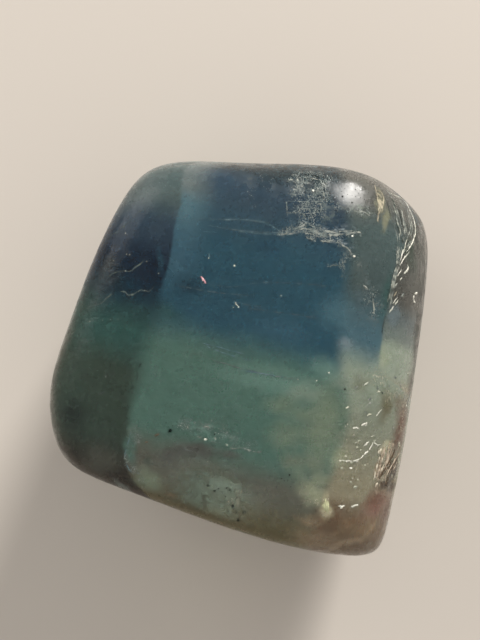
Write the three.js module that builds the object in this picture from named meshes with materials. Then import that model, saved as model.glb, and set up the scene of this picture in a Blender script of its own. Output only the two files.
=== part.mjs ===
// Tumbled fluorite: one block of banded fluorite, its faces, edges and corners worn round in a
// tumbling barrel. Millimetres, +Z up, lying on its flat back with its broad show face upwards.
import * as THREE from "three";
import { mergeVertices } from "three/addons/utils/BufferGeometryUtils.js";

// The facets of the rough block: which way each one faces, as a turn about +Z from +X and a rise
// above the horizontal in degrees, and how far out from the middle of the block it lies.
// SIDES meet each other in the upright edges, which give the stone its outline from above.
const SIDES = {
  right: { turn: -9, rise: -2, out: 17.2 },
  top_right: { turn: 51, rise: 3, out: 22.7 },
  top: { turn: 88.5, rise: 5, out: 19.0 },
  top_left: { turn: 138, rise: 0, out: 19.5 },
  left: { turn: 158.5, rise: -5, out: 15.7 },
  bottom_left: { turn: 195.5, rise: 0, out: 18.8 },
  bottom: { turn: -108.5, rise: -6, out: 13.9 },
  bottom_right: { turn: -54, rise: -3, out: 27.0 },
};

// FACES close the block in front and behind, with the bevels that slope off to its sides.
const FACES = {
  front: { turn: 150, rise: 87, out: 13.2 },
  front_left: { turn: 169, rise: 73, out: 15.3 },
  upper_right: { turn: 4, rise: 30, out: 20.6 },
  lower_right: { turn: -22, rise: 46, out: 18.9 },
  back: { turn: 0, rise: -90, out: 13.4 },
  back_top: { turn: 75, rise: -48, out: 18.6 },
  back_left: { turn: 190, rise: -50, out: 17.6 },
  back_right: { turn: -35, rise: -40, out: 20.0 },
};

// Wear: how crisp an edge still is. The edge of two sides is crisper than any edge with a face.
const SIDE_CRISPNESS = 16;
const FACE_CRISPNESS = 8;

// The flat that the block rests on, this far below its middle.
const REST_DEPTH = 12.9;

// Shallow hollows that tumbling hasn't worn away: old conchoidal chips and flat bruises.
const HOLLOWS = {
  lower_right_chip: { at: [11.5, -8.5, 11.0], radius: 6.5, depth: 0.45 },
  front_low_dish: { at: [-3.0, -9.5, 12.5], radius: 6.0, depth: 0.2 },
  left_side_chip: { at: [-16.0, 2.0, -5.5], radius: 5.0, depth: 0.45 },
  bottom_side_chip: { at: [2.5, -16.8, -1.0], radius: 7.5, depth: 0.45 },
  top_side_chip: { at: [-4.0, 18.0, -7.0], radius: 5.0, depth: 0.4 },
  right_side_chip: { at: [17.0, 3.0, -5.5], radius: 6.0, depth: 0.35 },
};

// The long, low unevenness of a face that was never ground flat.
const WAVE_HEIGHT = 0.12;
const WAVE_LENGTH = 12;

// The grid that is spread over the block: a box of this many cells along each edge, its upright
// edges standing where the block's own corners are and its other edges at this height.
const CELLS = 28;
const CORNERS = {
  top_left: new THREE.Vector2(-10.5, 19.5),
  top_right: new THREE.Vector2(19, 19),
  bottom_left: new THREE.Vector2(-19.5, -9),
  bottom_right: new THREE.Vector2(15, -20),
};
const EDGE_HEIGHT = 13;

const DEGREE = Math.PI / 180;

function planes(facets) {
  return Object.values(facets).map(({ turn, rise, out }) => ({
    normal: new THREE.Vector3(
      Math.cos(rise * DEGREE) * Math.cos(turn * DEGREE),
      Math.cos(rise * DEGREE) * Math.sin(turn * DEGREE),
      Math.sin(rise * DEGREE),
    ),
    out,
  }));
}

const SIDE_PLANES = planes(SIDES);
const FACE_PLANES = planes(FACES);

// How near the planes are met in a direction, as a sum in which the nearest one counts most.
function nearness(direction, facetPlanes, crispness) {
  let sum = 0;
  for (const { normal, out } of facetPlanes)
    sum += Math.max(0, normal.dot(direction) / out) ** crispness;
  return sum;
}

// How far the worn surface lies from the middle in a direction: the sides are rounded into each
// other first, and the tube that they make is then rounded into the faces.
function wornRadius(direction) {
  const sides = nearness(direction, SIDE_PLANES, SIDE_CRISPNESS);
  const faces = nearness(direction, FACE_PLANES, FACE_CRISPNESS);
  return (sides ** (FACE_CRISPNESS / SIDE_CRISPNESS) + faces) ** (-1 / FACE_CRISPNESS);
}

function hollowDepth(point) {
  let depth = 0;
  for (const hollow of Object.values(HOLLOWS)) {
    const away = point.distanceTo(new THREE.Vector3(...hollow.at)) / hollow.radius;
    if (away < 1) depth += hollow.depth * (1 - away * away) ** 2;
  }
  return depth;
}

function waveHeight({ x, y, z }) {
  const turn = (2 * Math.PI) / WAVE_LENGTH;
  const waves = [x + 0.4 * y, 0.8 * y - 0.5 * z, 0.9 * z - 0.3 * x];
  return waves.reduce((sum, along) => sum + (WAVE_HEIGHT / 3) * Math.sin(turn * along), 0);
}

function surfacePoint(direction) {
  const radius = wornRadius(direction);
  const point = direction.clone().multiplyScalar(radius);
  point.setLength(radius + waveHeight(point) - hollowDepth(point));
  if (point.z < -REST_DEPTH) point.multiplyScalar(-REST_DEPTH / point.z);
  return point;
}

// The direction in which a point of the grid's box lies, once the box is leant to the CORNERS.
// u, v and w run from -1 to 1, and bend draws the cells closer together towards the edges.
function gridDirection(u, v, w) {
  const bend = (t) => (t + Math.sin((t * Math.PI) / 2)) / 2;
  const across = (bend(u) + 1) / 2;
  const low = CORNERS.bottom_left.clone().lerp(CORNERS.bottom_right, across);
  const high = CORNERS.top_left.clone().lerp(CORNERS.top_right, across);
  const { x, y } = low.lerp(high, (bend(v) + 1) / 2);
  return new THREE.Vector3(x, y, bend(w) * EDGE_HEIGHT).normalize();
}

function stoneGeometry() {
  const box = new THREE.BoxGeometry(2, 2, 2, CELLS, CELLS, CELLS);
  const places = box.getAttribute("position");
  for (let i = 0; i < places.count; i++) {
    const direction = gridDirection(places.getX(i), places.getY(i), places.getZ(i));
    places.setXYZ(i, ...surfacePoint(direction));
  }
  box.deleteAttribute("normal");
  box.deleteAttribute("uv");
  return mergeVertices(box);
}

// Stands a geometry on z = 0 with the middle of its box on the Z axis.
function stand(geometry) {
  geometry.computeBoundingBox();
  const { min, max } = geometry.boundingBox;
  geometry.translate(-(min.x + max.x) / 2, -(min.y + max.y) / 2, -min.z);
  return geometry;
}

function fluorite() {
  const polish = new THREE.MeshStandardMaterial({
    color: 0x4f7f86,
    roughness: 0.12,
    metalness: 0,
  });
  const stone = new THREE.Mesh(stand(stoneGeometry()), polish);
  stone.name = "fluorite";
  return stone;
}

const part = new THREE.Group();
part.name = "tumbled_fluorite";
part.add(fluorite());

export default part;
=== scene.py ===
"""Tumbled fluorite: a worn block of clear, banded fluorite with its healed cracks, veils and flecks.

The stone lies on its flat back, its show face up, and every length is in millimetres until a mesh is made.
"""

import logging
import math
import random
from dataclasses import dataclass, field
from enum import Enum
from typing import Iterator, Sequence, Union

import bmesh
import bpy
import numpy as np
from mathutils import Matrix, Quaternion, Vector
from mathutils.bvhtree import BVHTree


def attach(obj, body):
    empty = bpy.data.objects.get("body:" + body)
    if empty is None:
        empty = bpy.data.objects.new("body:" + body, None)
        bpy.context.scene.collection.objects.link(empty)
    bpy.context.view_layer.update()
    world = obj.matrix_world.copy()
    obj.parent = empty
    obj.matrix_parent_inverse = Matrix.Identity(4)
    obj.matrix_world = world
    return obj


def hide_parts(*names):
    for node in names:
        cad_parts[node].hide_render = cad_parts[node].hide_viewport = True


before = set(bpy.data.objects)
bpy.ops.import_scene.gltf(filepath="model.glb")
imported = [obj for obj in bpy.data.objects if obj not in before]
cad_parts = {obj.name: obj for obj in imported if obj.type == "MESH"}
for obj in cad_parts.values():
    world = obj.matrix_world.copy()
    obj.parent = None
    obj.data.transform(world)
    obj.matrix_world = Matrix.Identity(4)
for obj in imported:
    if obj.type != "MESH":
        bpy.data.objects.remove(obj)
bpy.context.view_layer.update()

LOG = logging.getLogger("fluorite")
NODE = "fluorite"
BODY = "root"
METRE = 0.001  # one millimetre
HALF_HEIGHT = 13.1  # half the stone's thickness, mm
SHOW_FACE = 26.0  # the height of the show face, mm
ABOVE = 60.0  # a height that clears the stone, mm
WIDTH = "width"  # the names of the values that a path's or a region's points carry
NORMAL = "skin_normal"
BROKEN = "broken"
SHARE = "share"

Colour = tuple[float, float, float]
Place = tuple[float, float, float]
Spot = tuple[float, float]
Path = tuple[Spot, ...]
Socket = bpy.types.NodeSocket
Value = Union[Socket, float, Sequence[float]]


def from_screen(red: int, green: int, blue: int) -> Colour:
    """Turns a colour as a screen shows it, 0 to 255, into the linear colour that a shader takes.

    Args:
        red: the red share.
        green: the green share.
        blue: the blue share.

    Returns:
        The linear red, green and blue.
    """
    shares = (red / 255, green / 255, blue / 255)
    return tuple(s / 12.92 if s <= 0.04045 else ((s + 0.055) / 1.055) ** 2.4 for s in shares)


class NodeTree:
    """Adds nodes to one tree and links them."""

    prefix = ""

    def __init__(self, tree: bpy.types.NodeTree) -> None:
        """Sets up work on a tree.

        Args:
            tree: the tree that the nodes go into.
        """
        self.tree = tree
        self.nodes = tree.nodes
        self.links = tree.links

    def node(self, kind: str, **settings: object) -> bpy.types.Node:
        """Adds a node.

        Args:
            kind: the node's type, without the tree's own prefix where it has none of its own.
            settings: the node's own settings.

        Returns:
            The new node.
        """
        own = kind.startswith(("Shader", "Geometry", "Function", "NodeGroup"))
        made = self.nodes.new(kind if own else self.prefix + kind)
        for key, value in settings.items():
            setattr(made, key, value)
        return made

    def put(self, socket: Socket, value: Value) -> None:
        """Links a value to a socket, or sets it there if it is a plain one."""
        if isinstance(value, bpy.types.NodeSocket):
            self.links.new(value, socket)
        elif isinstance(value, (int, float)):
            socket.default_value = value
        else:
            size = len(socket.default_value)
            socket.default_value = (*value, 1.0)[:size]

    def fill(self, node: bpy.types.Node, **values: Value) -> bpy.types.Node:
        """Puts values on a node's sockets by name, an underscore standing for a space."""
        for name, value in values.items():
            self.put(node.inputs[name.replace("_", " ")], value)
        return node

    def maths(self, operation: str, *values: Value, clamp: bool = False) -> Socket:
        """Works out a number from others.

        Args:
            operation: what is done with them.
            values: the one, two or three numbers.
            clamp: whether the result is kept from 0 to 1.

        Returns:
            The result.
        """
        made = self.node("ShaderNodeMath", operation=operation, use_clamp=clamp)
        for socket, value in zip(made.inputs, values):
            self.put(socket, value)
        return made.outputs[0]

    def vector(self, operation: str, *values: Value) -> Socket:
        """Works out a vector or a number from vectors.

        Args:
            operation: what is done with them.
            values: the vectors, or for a scale a vector and a number.

        Returns:
            The result, a number where the operation is a dot product, a length or a distance.
        """
        made = self.node("ShaderNodeVectorMath", operation=operation)
        for socket, value in zip(made.inputs, values):
            if operation == "SCALE" and value is values[-1]:
                socket = made.inputs["Scale"]
            self.put(socket, value)
        scalar = operation in ("DOT_PRODUCT", "LENGTH", "DISTANCE")
        return made.outputs["Value" if scalar else "Vector"]

    def step(self, value: Value, low: float, high: float, to: tuple[float, float] = (0.0, 1.0)) -> Socket:
        """Goes softly from one number to another as a value passes from low to high.

        Args:
            value: the number that is followed.
            low: where the first result is reached.
            high: where the last result is reached, which may be the lower number.
            to: the first result and the last.

        Returns:
            The result.
        """
        made = self.node("ShaderNodeMapRange", interpolation_type="SMOOTHSTEP")
        if low > high:
            low, high, to = high, low, (to[1], to[0])
        for socket, number in zip(made.inputs, (value, low, high, *to)):
            self.put(socket, number)
        return made.outputs["Result"]

    def noise(
        self, place: Value, scale: float, detail: float = 2.0, roughness: float = 0.5, out: str = "Fac"
    ) -> Socket:
        """Reads a smooth random field.

        Args:
            place: where it is read.
            scale: its features for each unit of place.
            detail: how many finer layers it has.
            roughness: how strong the finer layers are.
            out: the output's name.

        Returns:
            The number or the colour there.
        """
        made = self.node("ShaderNodeTexNoise")
        self.put(made.inputs["Vector"], place)
        for name, value in (("Scale", scale), ("Detail", detail), ("Roughness", roughness)):
            made.inputs[name].default_value = value
        return made.outputs[out]


class ShaderTree(NodeTree):
    """Adds nodes to one material's tree."""

    prefix = "ShaderNode"

    def __init__(self, name: str) -> None:
        """Starts a material with an empty tree.

        Args:
            name: the material's name.
        """
        self.material = bpy.data.materials.new(name)
        self.material.use_nodes = True
        super().__init__(self.material.node_tree)
        self.nodes.clear()

    def place(self) -> Socket:
        """The place on the piece, in mm."""
        return self.vector("SCALE", self.node("TexCoord").outputs["Object"], 1 / METRE)

    def mix(self, factor: Value, first: Value, second: Value, blend: str = "MIX") -> Socket:
        """Mixes two colours.

        Args:
            factor: the share of the second.
            first: the first colour.
            second: the second colour.
            blend: how they are mixed.

        Returns:
            The mixed colour.
        """
        made = self.node("Mix", data_type="RGBA", blend_type=blend)
        for index, value in ((0, factor), (6, first), (7, second)):
            self.put(made.inputs[index], value)
        return made.outputs[2]

    def stretched(self, place: Value, turn: float, size: Place) -> Socket:
        """Turns a place and measures it in other units.

        Args:
            place: the place, in mm.
            turn: how far the axes are turned about Z, in degrees.
            size: the units along the turned axes, in mm.

        Returns:
            The place in those units.
        """
        made = self.node("Mapping", vector_type="TEXTURE")
        self.fill(made, Vector=place, Rotation=(0.0, 0.0, math.radians(turn)), Scale=size)
        return made.outputs["Vector"]

    def pattern(self, place: Value, pattern: "Pattern", out: str = "Fac") -> Socket:
        """Reads a pattern.

        Args:
            place: the place, in mm.
            pattern: the pattern.
            out: the output's name.

        Returns:
            The number or the colour there.
        """
        if pattern.stretch is not None:
            place = self.stretched(place, pattern.turn, pattern.stretch)
        return self.noise(place, pattern.scale, pattern.detail, pattern.roughness, out)

    def drifts(self, place: Value, pattern: "Pattern", reach: float) -> Socket:
        """How far a pattern pushes a place each way, in mm, by that reach at most."""
        centred = self.vector("SUBTRACT", self.pattern(place, pattern, "Color"), (0.5, 0.5, 0.5))
        return self.vector("SCALE", centred, reach)

    def spot(self, place: Value, patch: "Patch", clumps: Value = 1.0) -> Socket:
        """How much of a patch's tint lies at a place.

        Args:
            place: the place, in mm.
            patch: the tint.
            clumps: how much of a broken tint is left there.

        Returns:
            The share of it that shows, from 0 to its strength.
        """
        ball = self.node("TexGradient", gradient_type="SPHERICAL")
        ball.texture_mapping.vector_type = "TEXTURE"
        ball.texture_mapping.translation = patch.at
        ball.texture_mapping.rotation = (0.0, 0.0, math.radians(patch.turn))
        ball.texture_mapping.scale = patch.size
        self.put(ball.inputs["Vector"], place)
        share = self.step(ball.outputs["Fac"], 0.0, patch.edge, (0.0, patch.strength))
        return self.maths("MULTIPLY", share, clumps) if patch.broken else share

    def ramp(self, value: Value, stops: Sequence["Band"]) -> Socket:
        """Runs a number through a row of colours.

        Args:
            value: the number, in the units of the bands' places.
            stops: the bands, in rising order of place.

        Returns:
            The colour there.
        """
        low, high = stops[0].at, stops[-1].at
        made = self.node("ValToRGB")
        made.color_ramp.interpolation = "EASE"
        elements = made.color_ramp.elements
        while len(elements) < len(stops):
            elements.new(0.5)
        for element, stop in zip(elements, stops):
            element.position = (stop.at - low) / (high - low)
            element.color = (*stop.colour, 1.0)
        self.put(made.inputs["Fac"], self.maths("DIVIDE", self.maths("SUBTRACT", value, low), high - low))
        return made.outputs["Color"]

    def curve(self, value: Value, points: Sequence[tuple[float, float]]) -> Socket:
        """Follows a line through points.

        Args:
            value: the number that is followed.
            points: the points, as (value, result), in rising order of value.

        Returns:
            The result, that of the nearest end past the ends.
        """
        (x0, x1), ys = (points[0][0], points[-1][0]), [p[1] for p in points]
        y0, y1 = min(ys), max(ys)
        made = self.node("FloatCurve")
        line = made.mapping.curves[0]
        while len(line.points) < len(points):
            line.points.new(0.5, 0.5)
        for point, (x, y) in zip(line.points, points):
            point.location = ((x - x0) / (x1 - x0), (y - y0) / (y1 - y0))
            point.handle_type = "VECTOR"
        made.mapping.update()
        share = self.maths("DIVIDE", self.maths("SUBTRACT", value, x0), x1 - x0)
        self.put(made.inputs["Value"], self.maths("MULTIPLY", share, 1.0, clamp=True))
        return self.maths("MULTIPLY_ADD", made.outputs[0], y1 - y0, y0)

    def bump(self, height: Value, strength: float, distance: float, under: Socket | None = None) -> Socket:
        """Turns a height into a shading normal.

        Args:
            height: the height, in shares of the distance.
            strength: how much of it shows.
            distance: the distance, in mm.
            under: the normal that it is laid on, if it isn't the mesh's own.

        Returns:
            The shading normal.
        """
        made = self.node("Bump")
        self.fill(made, Height=height, Strength=strength, Distance=distance * METRE)
        if under is not None:
            self.put(made.inputs["Normal"], under)
        return made.outputs["Normal"]

    def finish(self, shader: bpy.types.Node, volume: bpy.types.Node | None = None) -> bpy.types.Material:
        """Links the shaders to the output.

        Args:
            shader: the surface's shader.
            volume: the volume's shader, if it has one.

        Returns:
            The material.
        """
        out = self.node("OutputMaterial")
        self.links.new(shader.outputs[0], out.inputs["Surface"])
        if volume is not None:
            self.links.new(volume.outputs[0], out.inputs["Volume"])
        return self.material


class GrowTree(NodeTree):
    """Adds nodes to one Geometry Nodes tree, with named inputs for what its piece sets."""

    prefix = "GeometryNode"

    def __init__(self, name: str) -> None:
        """Starts a tree that takes and gives geometry.

        Args:
            name: the tree's name.
        """
        super().__init__(bpy.data.node_groups.new(name, "GeometryNodeTree"))
        for way in ("INPUT", "OUTPUT"):
            self.tree.interface.new_socket("Geometry", in_out=way, socket_type="NodeSocketGeometry")
        self.entry = self.node("NodeGroupInput")
        self.keys: dict[str, str] = {}

    def ask(self, name: str, kind: str = "Float") -> Socket:
        """Adds a named input.

        Args:
            name: the input's name.
            kind: the kind of its socket.

        Returns:
            Its socket in the tree.
        """
        item = self.tree.interface.new_socket(name, in_out="INPUT", socket_type="NodeSocket" + kind)
        self.keys[name] = item.identifier
        return self.entry.outputs[name]

    def carried(self, name: str, kind: str = "FLOAT") -> Socket:
        """Reads a value that each point carries.

        Args:
            name: the value's name.
            kind: its data type.

        Returns:
            Its socket.
        """
        made = self.node("InputNamedAttribute", data_type=kind)
        made.inputs["Name"].default_value = name
        return made.outputs["Attribute"]

    def chance(self, low: Value, high: Value, seed: Value) -> Socket:
        """Picks a random number for each point.

        Args:
            low: the least that it can be.
            high: the most that it can be.
            seed: what the random choices start from.

        Returns:
            The number.
        """
        made = self.node("FunctionNodeRandomValue", data_type="FLOAT")
        sockets = [s for s in made.inputs if s.type == "VALUE" and s.name in ("Min", "Max")]
        self.put(sockets[0], low)
        self.put(sockets[1], high)
        self.put(made.inputs["Seed"], seed)
        return next(s for s in made.outputs if s.type == "VALUE")

    def end(self, geometry: Socket, material: Socket) -> None:
        """Makes real geometry of what has grown, in its material.

        Args:
            geometry: what has grown.
            material: the material that it gets.
        """
        real = self.fill(self.node("RealizeInstances"), Geometry=geometry)
        dressed = self.fill(self.node("SetMaterial"), Geometry=real.outputs[0], Material=material)
        out = self.node("NodeGroupOutput")
        self.put(out.inputs[0], dressed.outputs[0])

    def grow(self, piece: bpy.types.Object, values: dict[str, object]) -> bpy.types.Object:
        """Runs the tree on a piece.

        Args:
            piece: the object that holds what the tree starts from.
            values: what each named input is set to.

        Returns:
            The same object, holding what grew as a plain mesh.
        """
        modifier = piece.modifiers.new(self.tree.name, "NODES")
        modifier.node_group = self.tree
        for name, value in values.items():
            modifier[self.keys[name]] = value
        return settle(piece)


def settle(piece: bpy.types.Object) -> bpy.types.Object:
    """Turns what a piece's modifiers make of it into its own plain mesh.

    Args:
        piece: the object, which is changed.

    Returns:
        The same object, with no modifiers.
    """
    bpy.context.view_layer.update()
    made = bpy.data.meshes.new_from_object(piece.evaluated_get(bpy.context.evaluated_depsgraph_get()))
    piece.modifiers.clear()
    old, piece.data = piece.data, made
    bpy.data.meshes.remove(old)
    made.name = piece.name
    return piece


def new_piece(name: str, mesh: bpy.types.Mesh) -> bpy.types.Object:
    """Puts a mesh into the scene as a piece.

    Args:
        name: the piece's name.
        mesh: its mesh.

    Returns:
        The new object.
    """
    piece = bpy.data.objects.new(name, mesh)
    bpy.context.scene.collection.objects.link(piece)
    return piece


class Hue(Enum):
    """The colours of the stone's body, from the darkest to the palest, as a screen shows them, 0 to 255."""

    NAVY = (5, 30, 50)
    MIDNIGHT = (10, 45, 60)
    BOTTLE = (25, 35, 30)
    PEAT = (50, 40, 30)
    CHARCOAL = (30, 45, 50)
    BARK = (65, 50, 40)
    COBALT = (20, 60, 80)
    PINE = (50, 65, 55)
    INDIGO = (40, 60, 75)
    LAGOON = (45, 80, 75)
    RUST = (95, 65, 50)
    PETROL = (40, 80, 95)
    SMOKE = (80, 80, 75)
    MOSS = (80, 85, 70)
    SLATE = (70, 85, 85)
    COCOA = (105, 85, 65)
    OLIVE = (100, 90, 60)
    ROSE = (125, 85, 75)
    STEEL = (60, 95, 110)
    ASH = (90, 90, 80)
    HAZE = (90, 100, 100)
    SEA = (80, 110, 100)
    TEAL = (75, 105, 115)
    TAUPE = (125, 105, 80)
    DRAB = (120, 120, 100)
    PEWTER = (110, 120, 115)
    DENIM = (85, 120, 130)
    SAGE = (135, 130, 110)
    LICHEN = (125, 135, 115)
    SILVER = (115, 130, 135)
    JADE = (115, 145, 135)
    SAND = (160, 140, 115)
    MIST = (145, 155, 140)
    FROST = (145, 155, 160)
    PEARL = (160, 165, 140)
    BUFF = (175, 155, 130)
    CREAM = (200, 195, 165)

    def linear(self) -> Colour:
        """The colour that a shader takes."""
        return from_screen(*self.value)


@dataclass(frozen=True)
class Band:
    """One growth band: how far along the growth direction it lies, in mm, and its colour."""

    at: float
    colour: Colour


@dataclass(frozen=True)
class Patch:
    """A soft tint: its middle and half sizes in mm, its turn in degrees, and its colour."""

    at: Place
    size: Place
    turn: float
    colour: Colour
    strength: float = 1.0
    edge: float = 0.6
    broken: bool = False  # whether the tint is broken up into clumps


@dataclass(frozen=True)
class Pattern:
    """A smooth random pattern: its features for each mm, its count of finer layers, and how strong they are.

    A stretched one has its features in units of `stretch` mm, along axes turned about Z by `turn` degrees.
    """

    scale: float
    detail: float = 2.0
    roughness: float = 0.5
    turn: float = 0.0
    stretch: Place | None = None


class Block(Enum):
    """The blocks that the cleavages part the stone into, as the show face has them."""

    # painted shade: the same bands as right of the veil, made darker where the veil shades them
    LEFT = "left of the cleavage veil"
    # painted light: paler where the veil behind it throws light back
    STRIP = "the pale strip along the veil"
    MIDDLE = "the broad middle"
    RIGHT = "the clear right side"
    # partly the stone's own colour, partly painted reflection of the pale room
    EDGE = "past the right ridge"


def bands(*rows: tuple[float, Hue]) -> tuple[Band, ...]:
    """Makes a row of bands from (place in mm, hue)."""
    return tuple(Band(at, hue.linear()) for at, hue in rows)


ROWS = {
    # left of the veil: the bands painted darker, as painted shade cast by the veil
    Block.LEFT: bands(
        (-14, Hue.PEAT), (-9, Hue.PINE), (-4, Hue.PINE), (-0.5, Hue.LAGOON), (3.5, Hue.MIDNIGHT),
        (5.5, Hue.NAVY), (9.5, Hue.INDIGO), (13, Hue.SLATE),
    ),
    # along the veil: the bands painted paler, as painted light that the veil throws back
    Block.STRIP: bands(
        (-1, Hue.SEA), (1.5, Hue.LAGOON), (3.5, Hue.PETROL), (8, Hue.STEEL), (12, Hue.TEAL), (14, Hue.HAZE),
    ),
    Block.MIDDLE: bands(
        (-15, Hue.OLIVE), (-11, Hue.ASH), (-7.5, Hue.SEA), (-1, Hue.SEA), (3, Hue.PETROL), (8, Hue.PETROL),
        (15, Hue.INDIGO), (17, Hue.CHARCOAL),
    ),
    Block.RIGHT: bands(
        (-12, Hue.COCOA), (-9.5, Hue.SAGE), (1, Hue.MIST), (4.5, Hue.TEAL), (9.5, Hue.SLATE), (14, Hue.SLATE),
        (17, Hue.SMOKE),
    ),
    # past the ridge: the stone's own colour mixed with painted reflection of the pale room
    Block.EDGE: bands(
        (-4, Hue.SAGE), (-1, Hue.SAND), (2, Hue.MIST), (4, Hue.MIST), (5.5, Hue.PEWTER), (7, Hue.HAZE),
        (9, Hue.SMOKE), (11, Hue.SMOKE), (16, Hue.BOTTLE),
    ),
}

# Where the cleavage veil would meet a flat show face, as (y, x) in mm from the lilac end to the grey one.
# left of this line the body colour carries painted shade
VEIL_TRACE = (
    (-16.0, -8.6), (-13.3, -9.5), (-12.5, -9.75), (-11.6, -10.3), (-10.4, -11.05), (-9.5, -11.25),
    (-8.4, -11.1),
    (-5.4, -10.9), (-3.2, -10.44), (-2.0, -10.07), (-0.4, -9.82), (0.9, -9.3), (2.0, -8.95), (3.2, -8.45),
    (4.3, -8.3), (5.6, -8.15), (7.0, -7.8), (8.4, -7.3), (9.5, -7.1), (10.6, -6.95), (11.7, -6.85),
    (13.2, -6.55), (13.9, -6.29), (15.2, -6.46), (16.6, -6.78), (19.0, -7.0),
)

# How far the veil's painted shade fades to each side on its way, as (y, half width) in mm.
VEIL_FADE = (
    (-16.0, 0.25), (-9.0, 0.15), (-5.5, 0.3), (-3.0, 1.1), (1.0, 1.6), (3.5, 1.2), (6.5, 0.3), (9.0, 0.14),
    (19.0, 0.14),
)

# Where the clear right side begins on the show face, as (y, x) in mm.
CLEAR_TRACE = (
    (-18.0, 5.5), (-15.5, 6.25), (-13.7, 6.78), (-12.3, 7.14), (-10.4, 7.95), (-8.8, 8.41), (-6.9, 8.95),
    (-5.6, 9.39), (-4.7, 9.38), (-3.0, 9.3), (0.0, 8.7), (3.0, 8.75), (5.2, 8.95), (8.0, 9.4), (11.5, 9.5),
    (14.2, 9.31), (17.2, 8.96), (19.0, 8.8),
)

# The right ridge of the show face, as (y, x) in mm.
RIDGE_TRACE = (
    (-9.0, 24.0), (-4.5, 16.5), (-2.6, 14.2), (-1.6, 12.6), (-0.7, 12.22), (1.6, 12.49), (3.4, 12.67),
    (5.2, 13.13), (6.8, 13.41), (7.9, 13.7), (9.0, 14.18),
    (10.3, 14.7), (12.1, 15.6), (13.2, 15.9), (19.0, 16.2),
)


def tint(
    at: Spot, size: Spot, turn: float, hue: Hue, strength: float = 1.0, edge: float = 0.7,
    height: float = 22.0, reach: float = 14.0, broken: bool = False,
) -> Patch:
    """Makes a patch of a hue.

    Args:
        at: its middle as the show face has it.
        size: its half sizes.
        turn: how far its long side is turned, in degrees.
        hue: its colour.
        strength: how much of it shows at the middle.
        edge: the share of its radius over which it fades.
        height: the height of its middle.
        reach: its half height.
        broken: whether it is broken up into clumps.

    Returns:
        The patch.
    """
    return Patch((*at, height), (*size, reach), turn, hue.linear(), strength, edge, broken)


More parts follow.
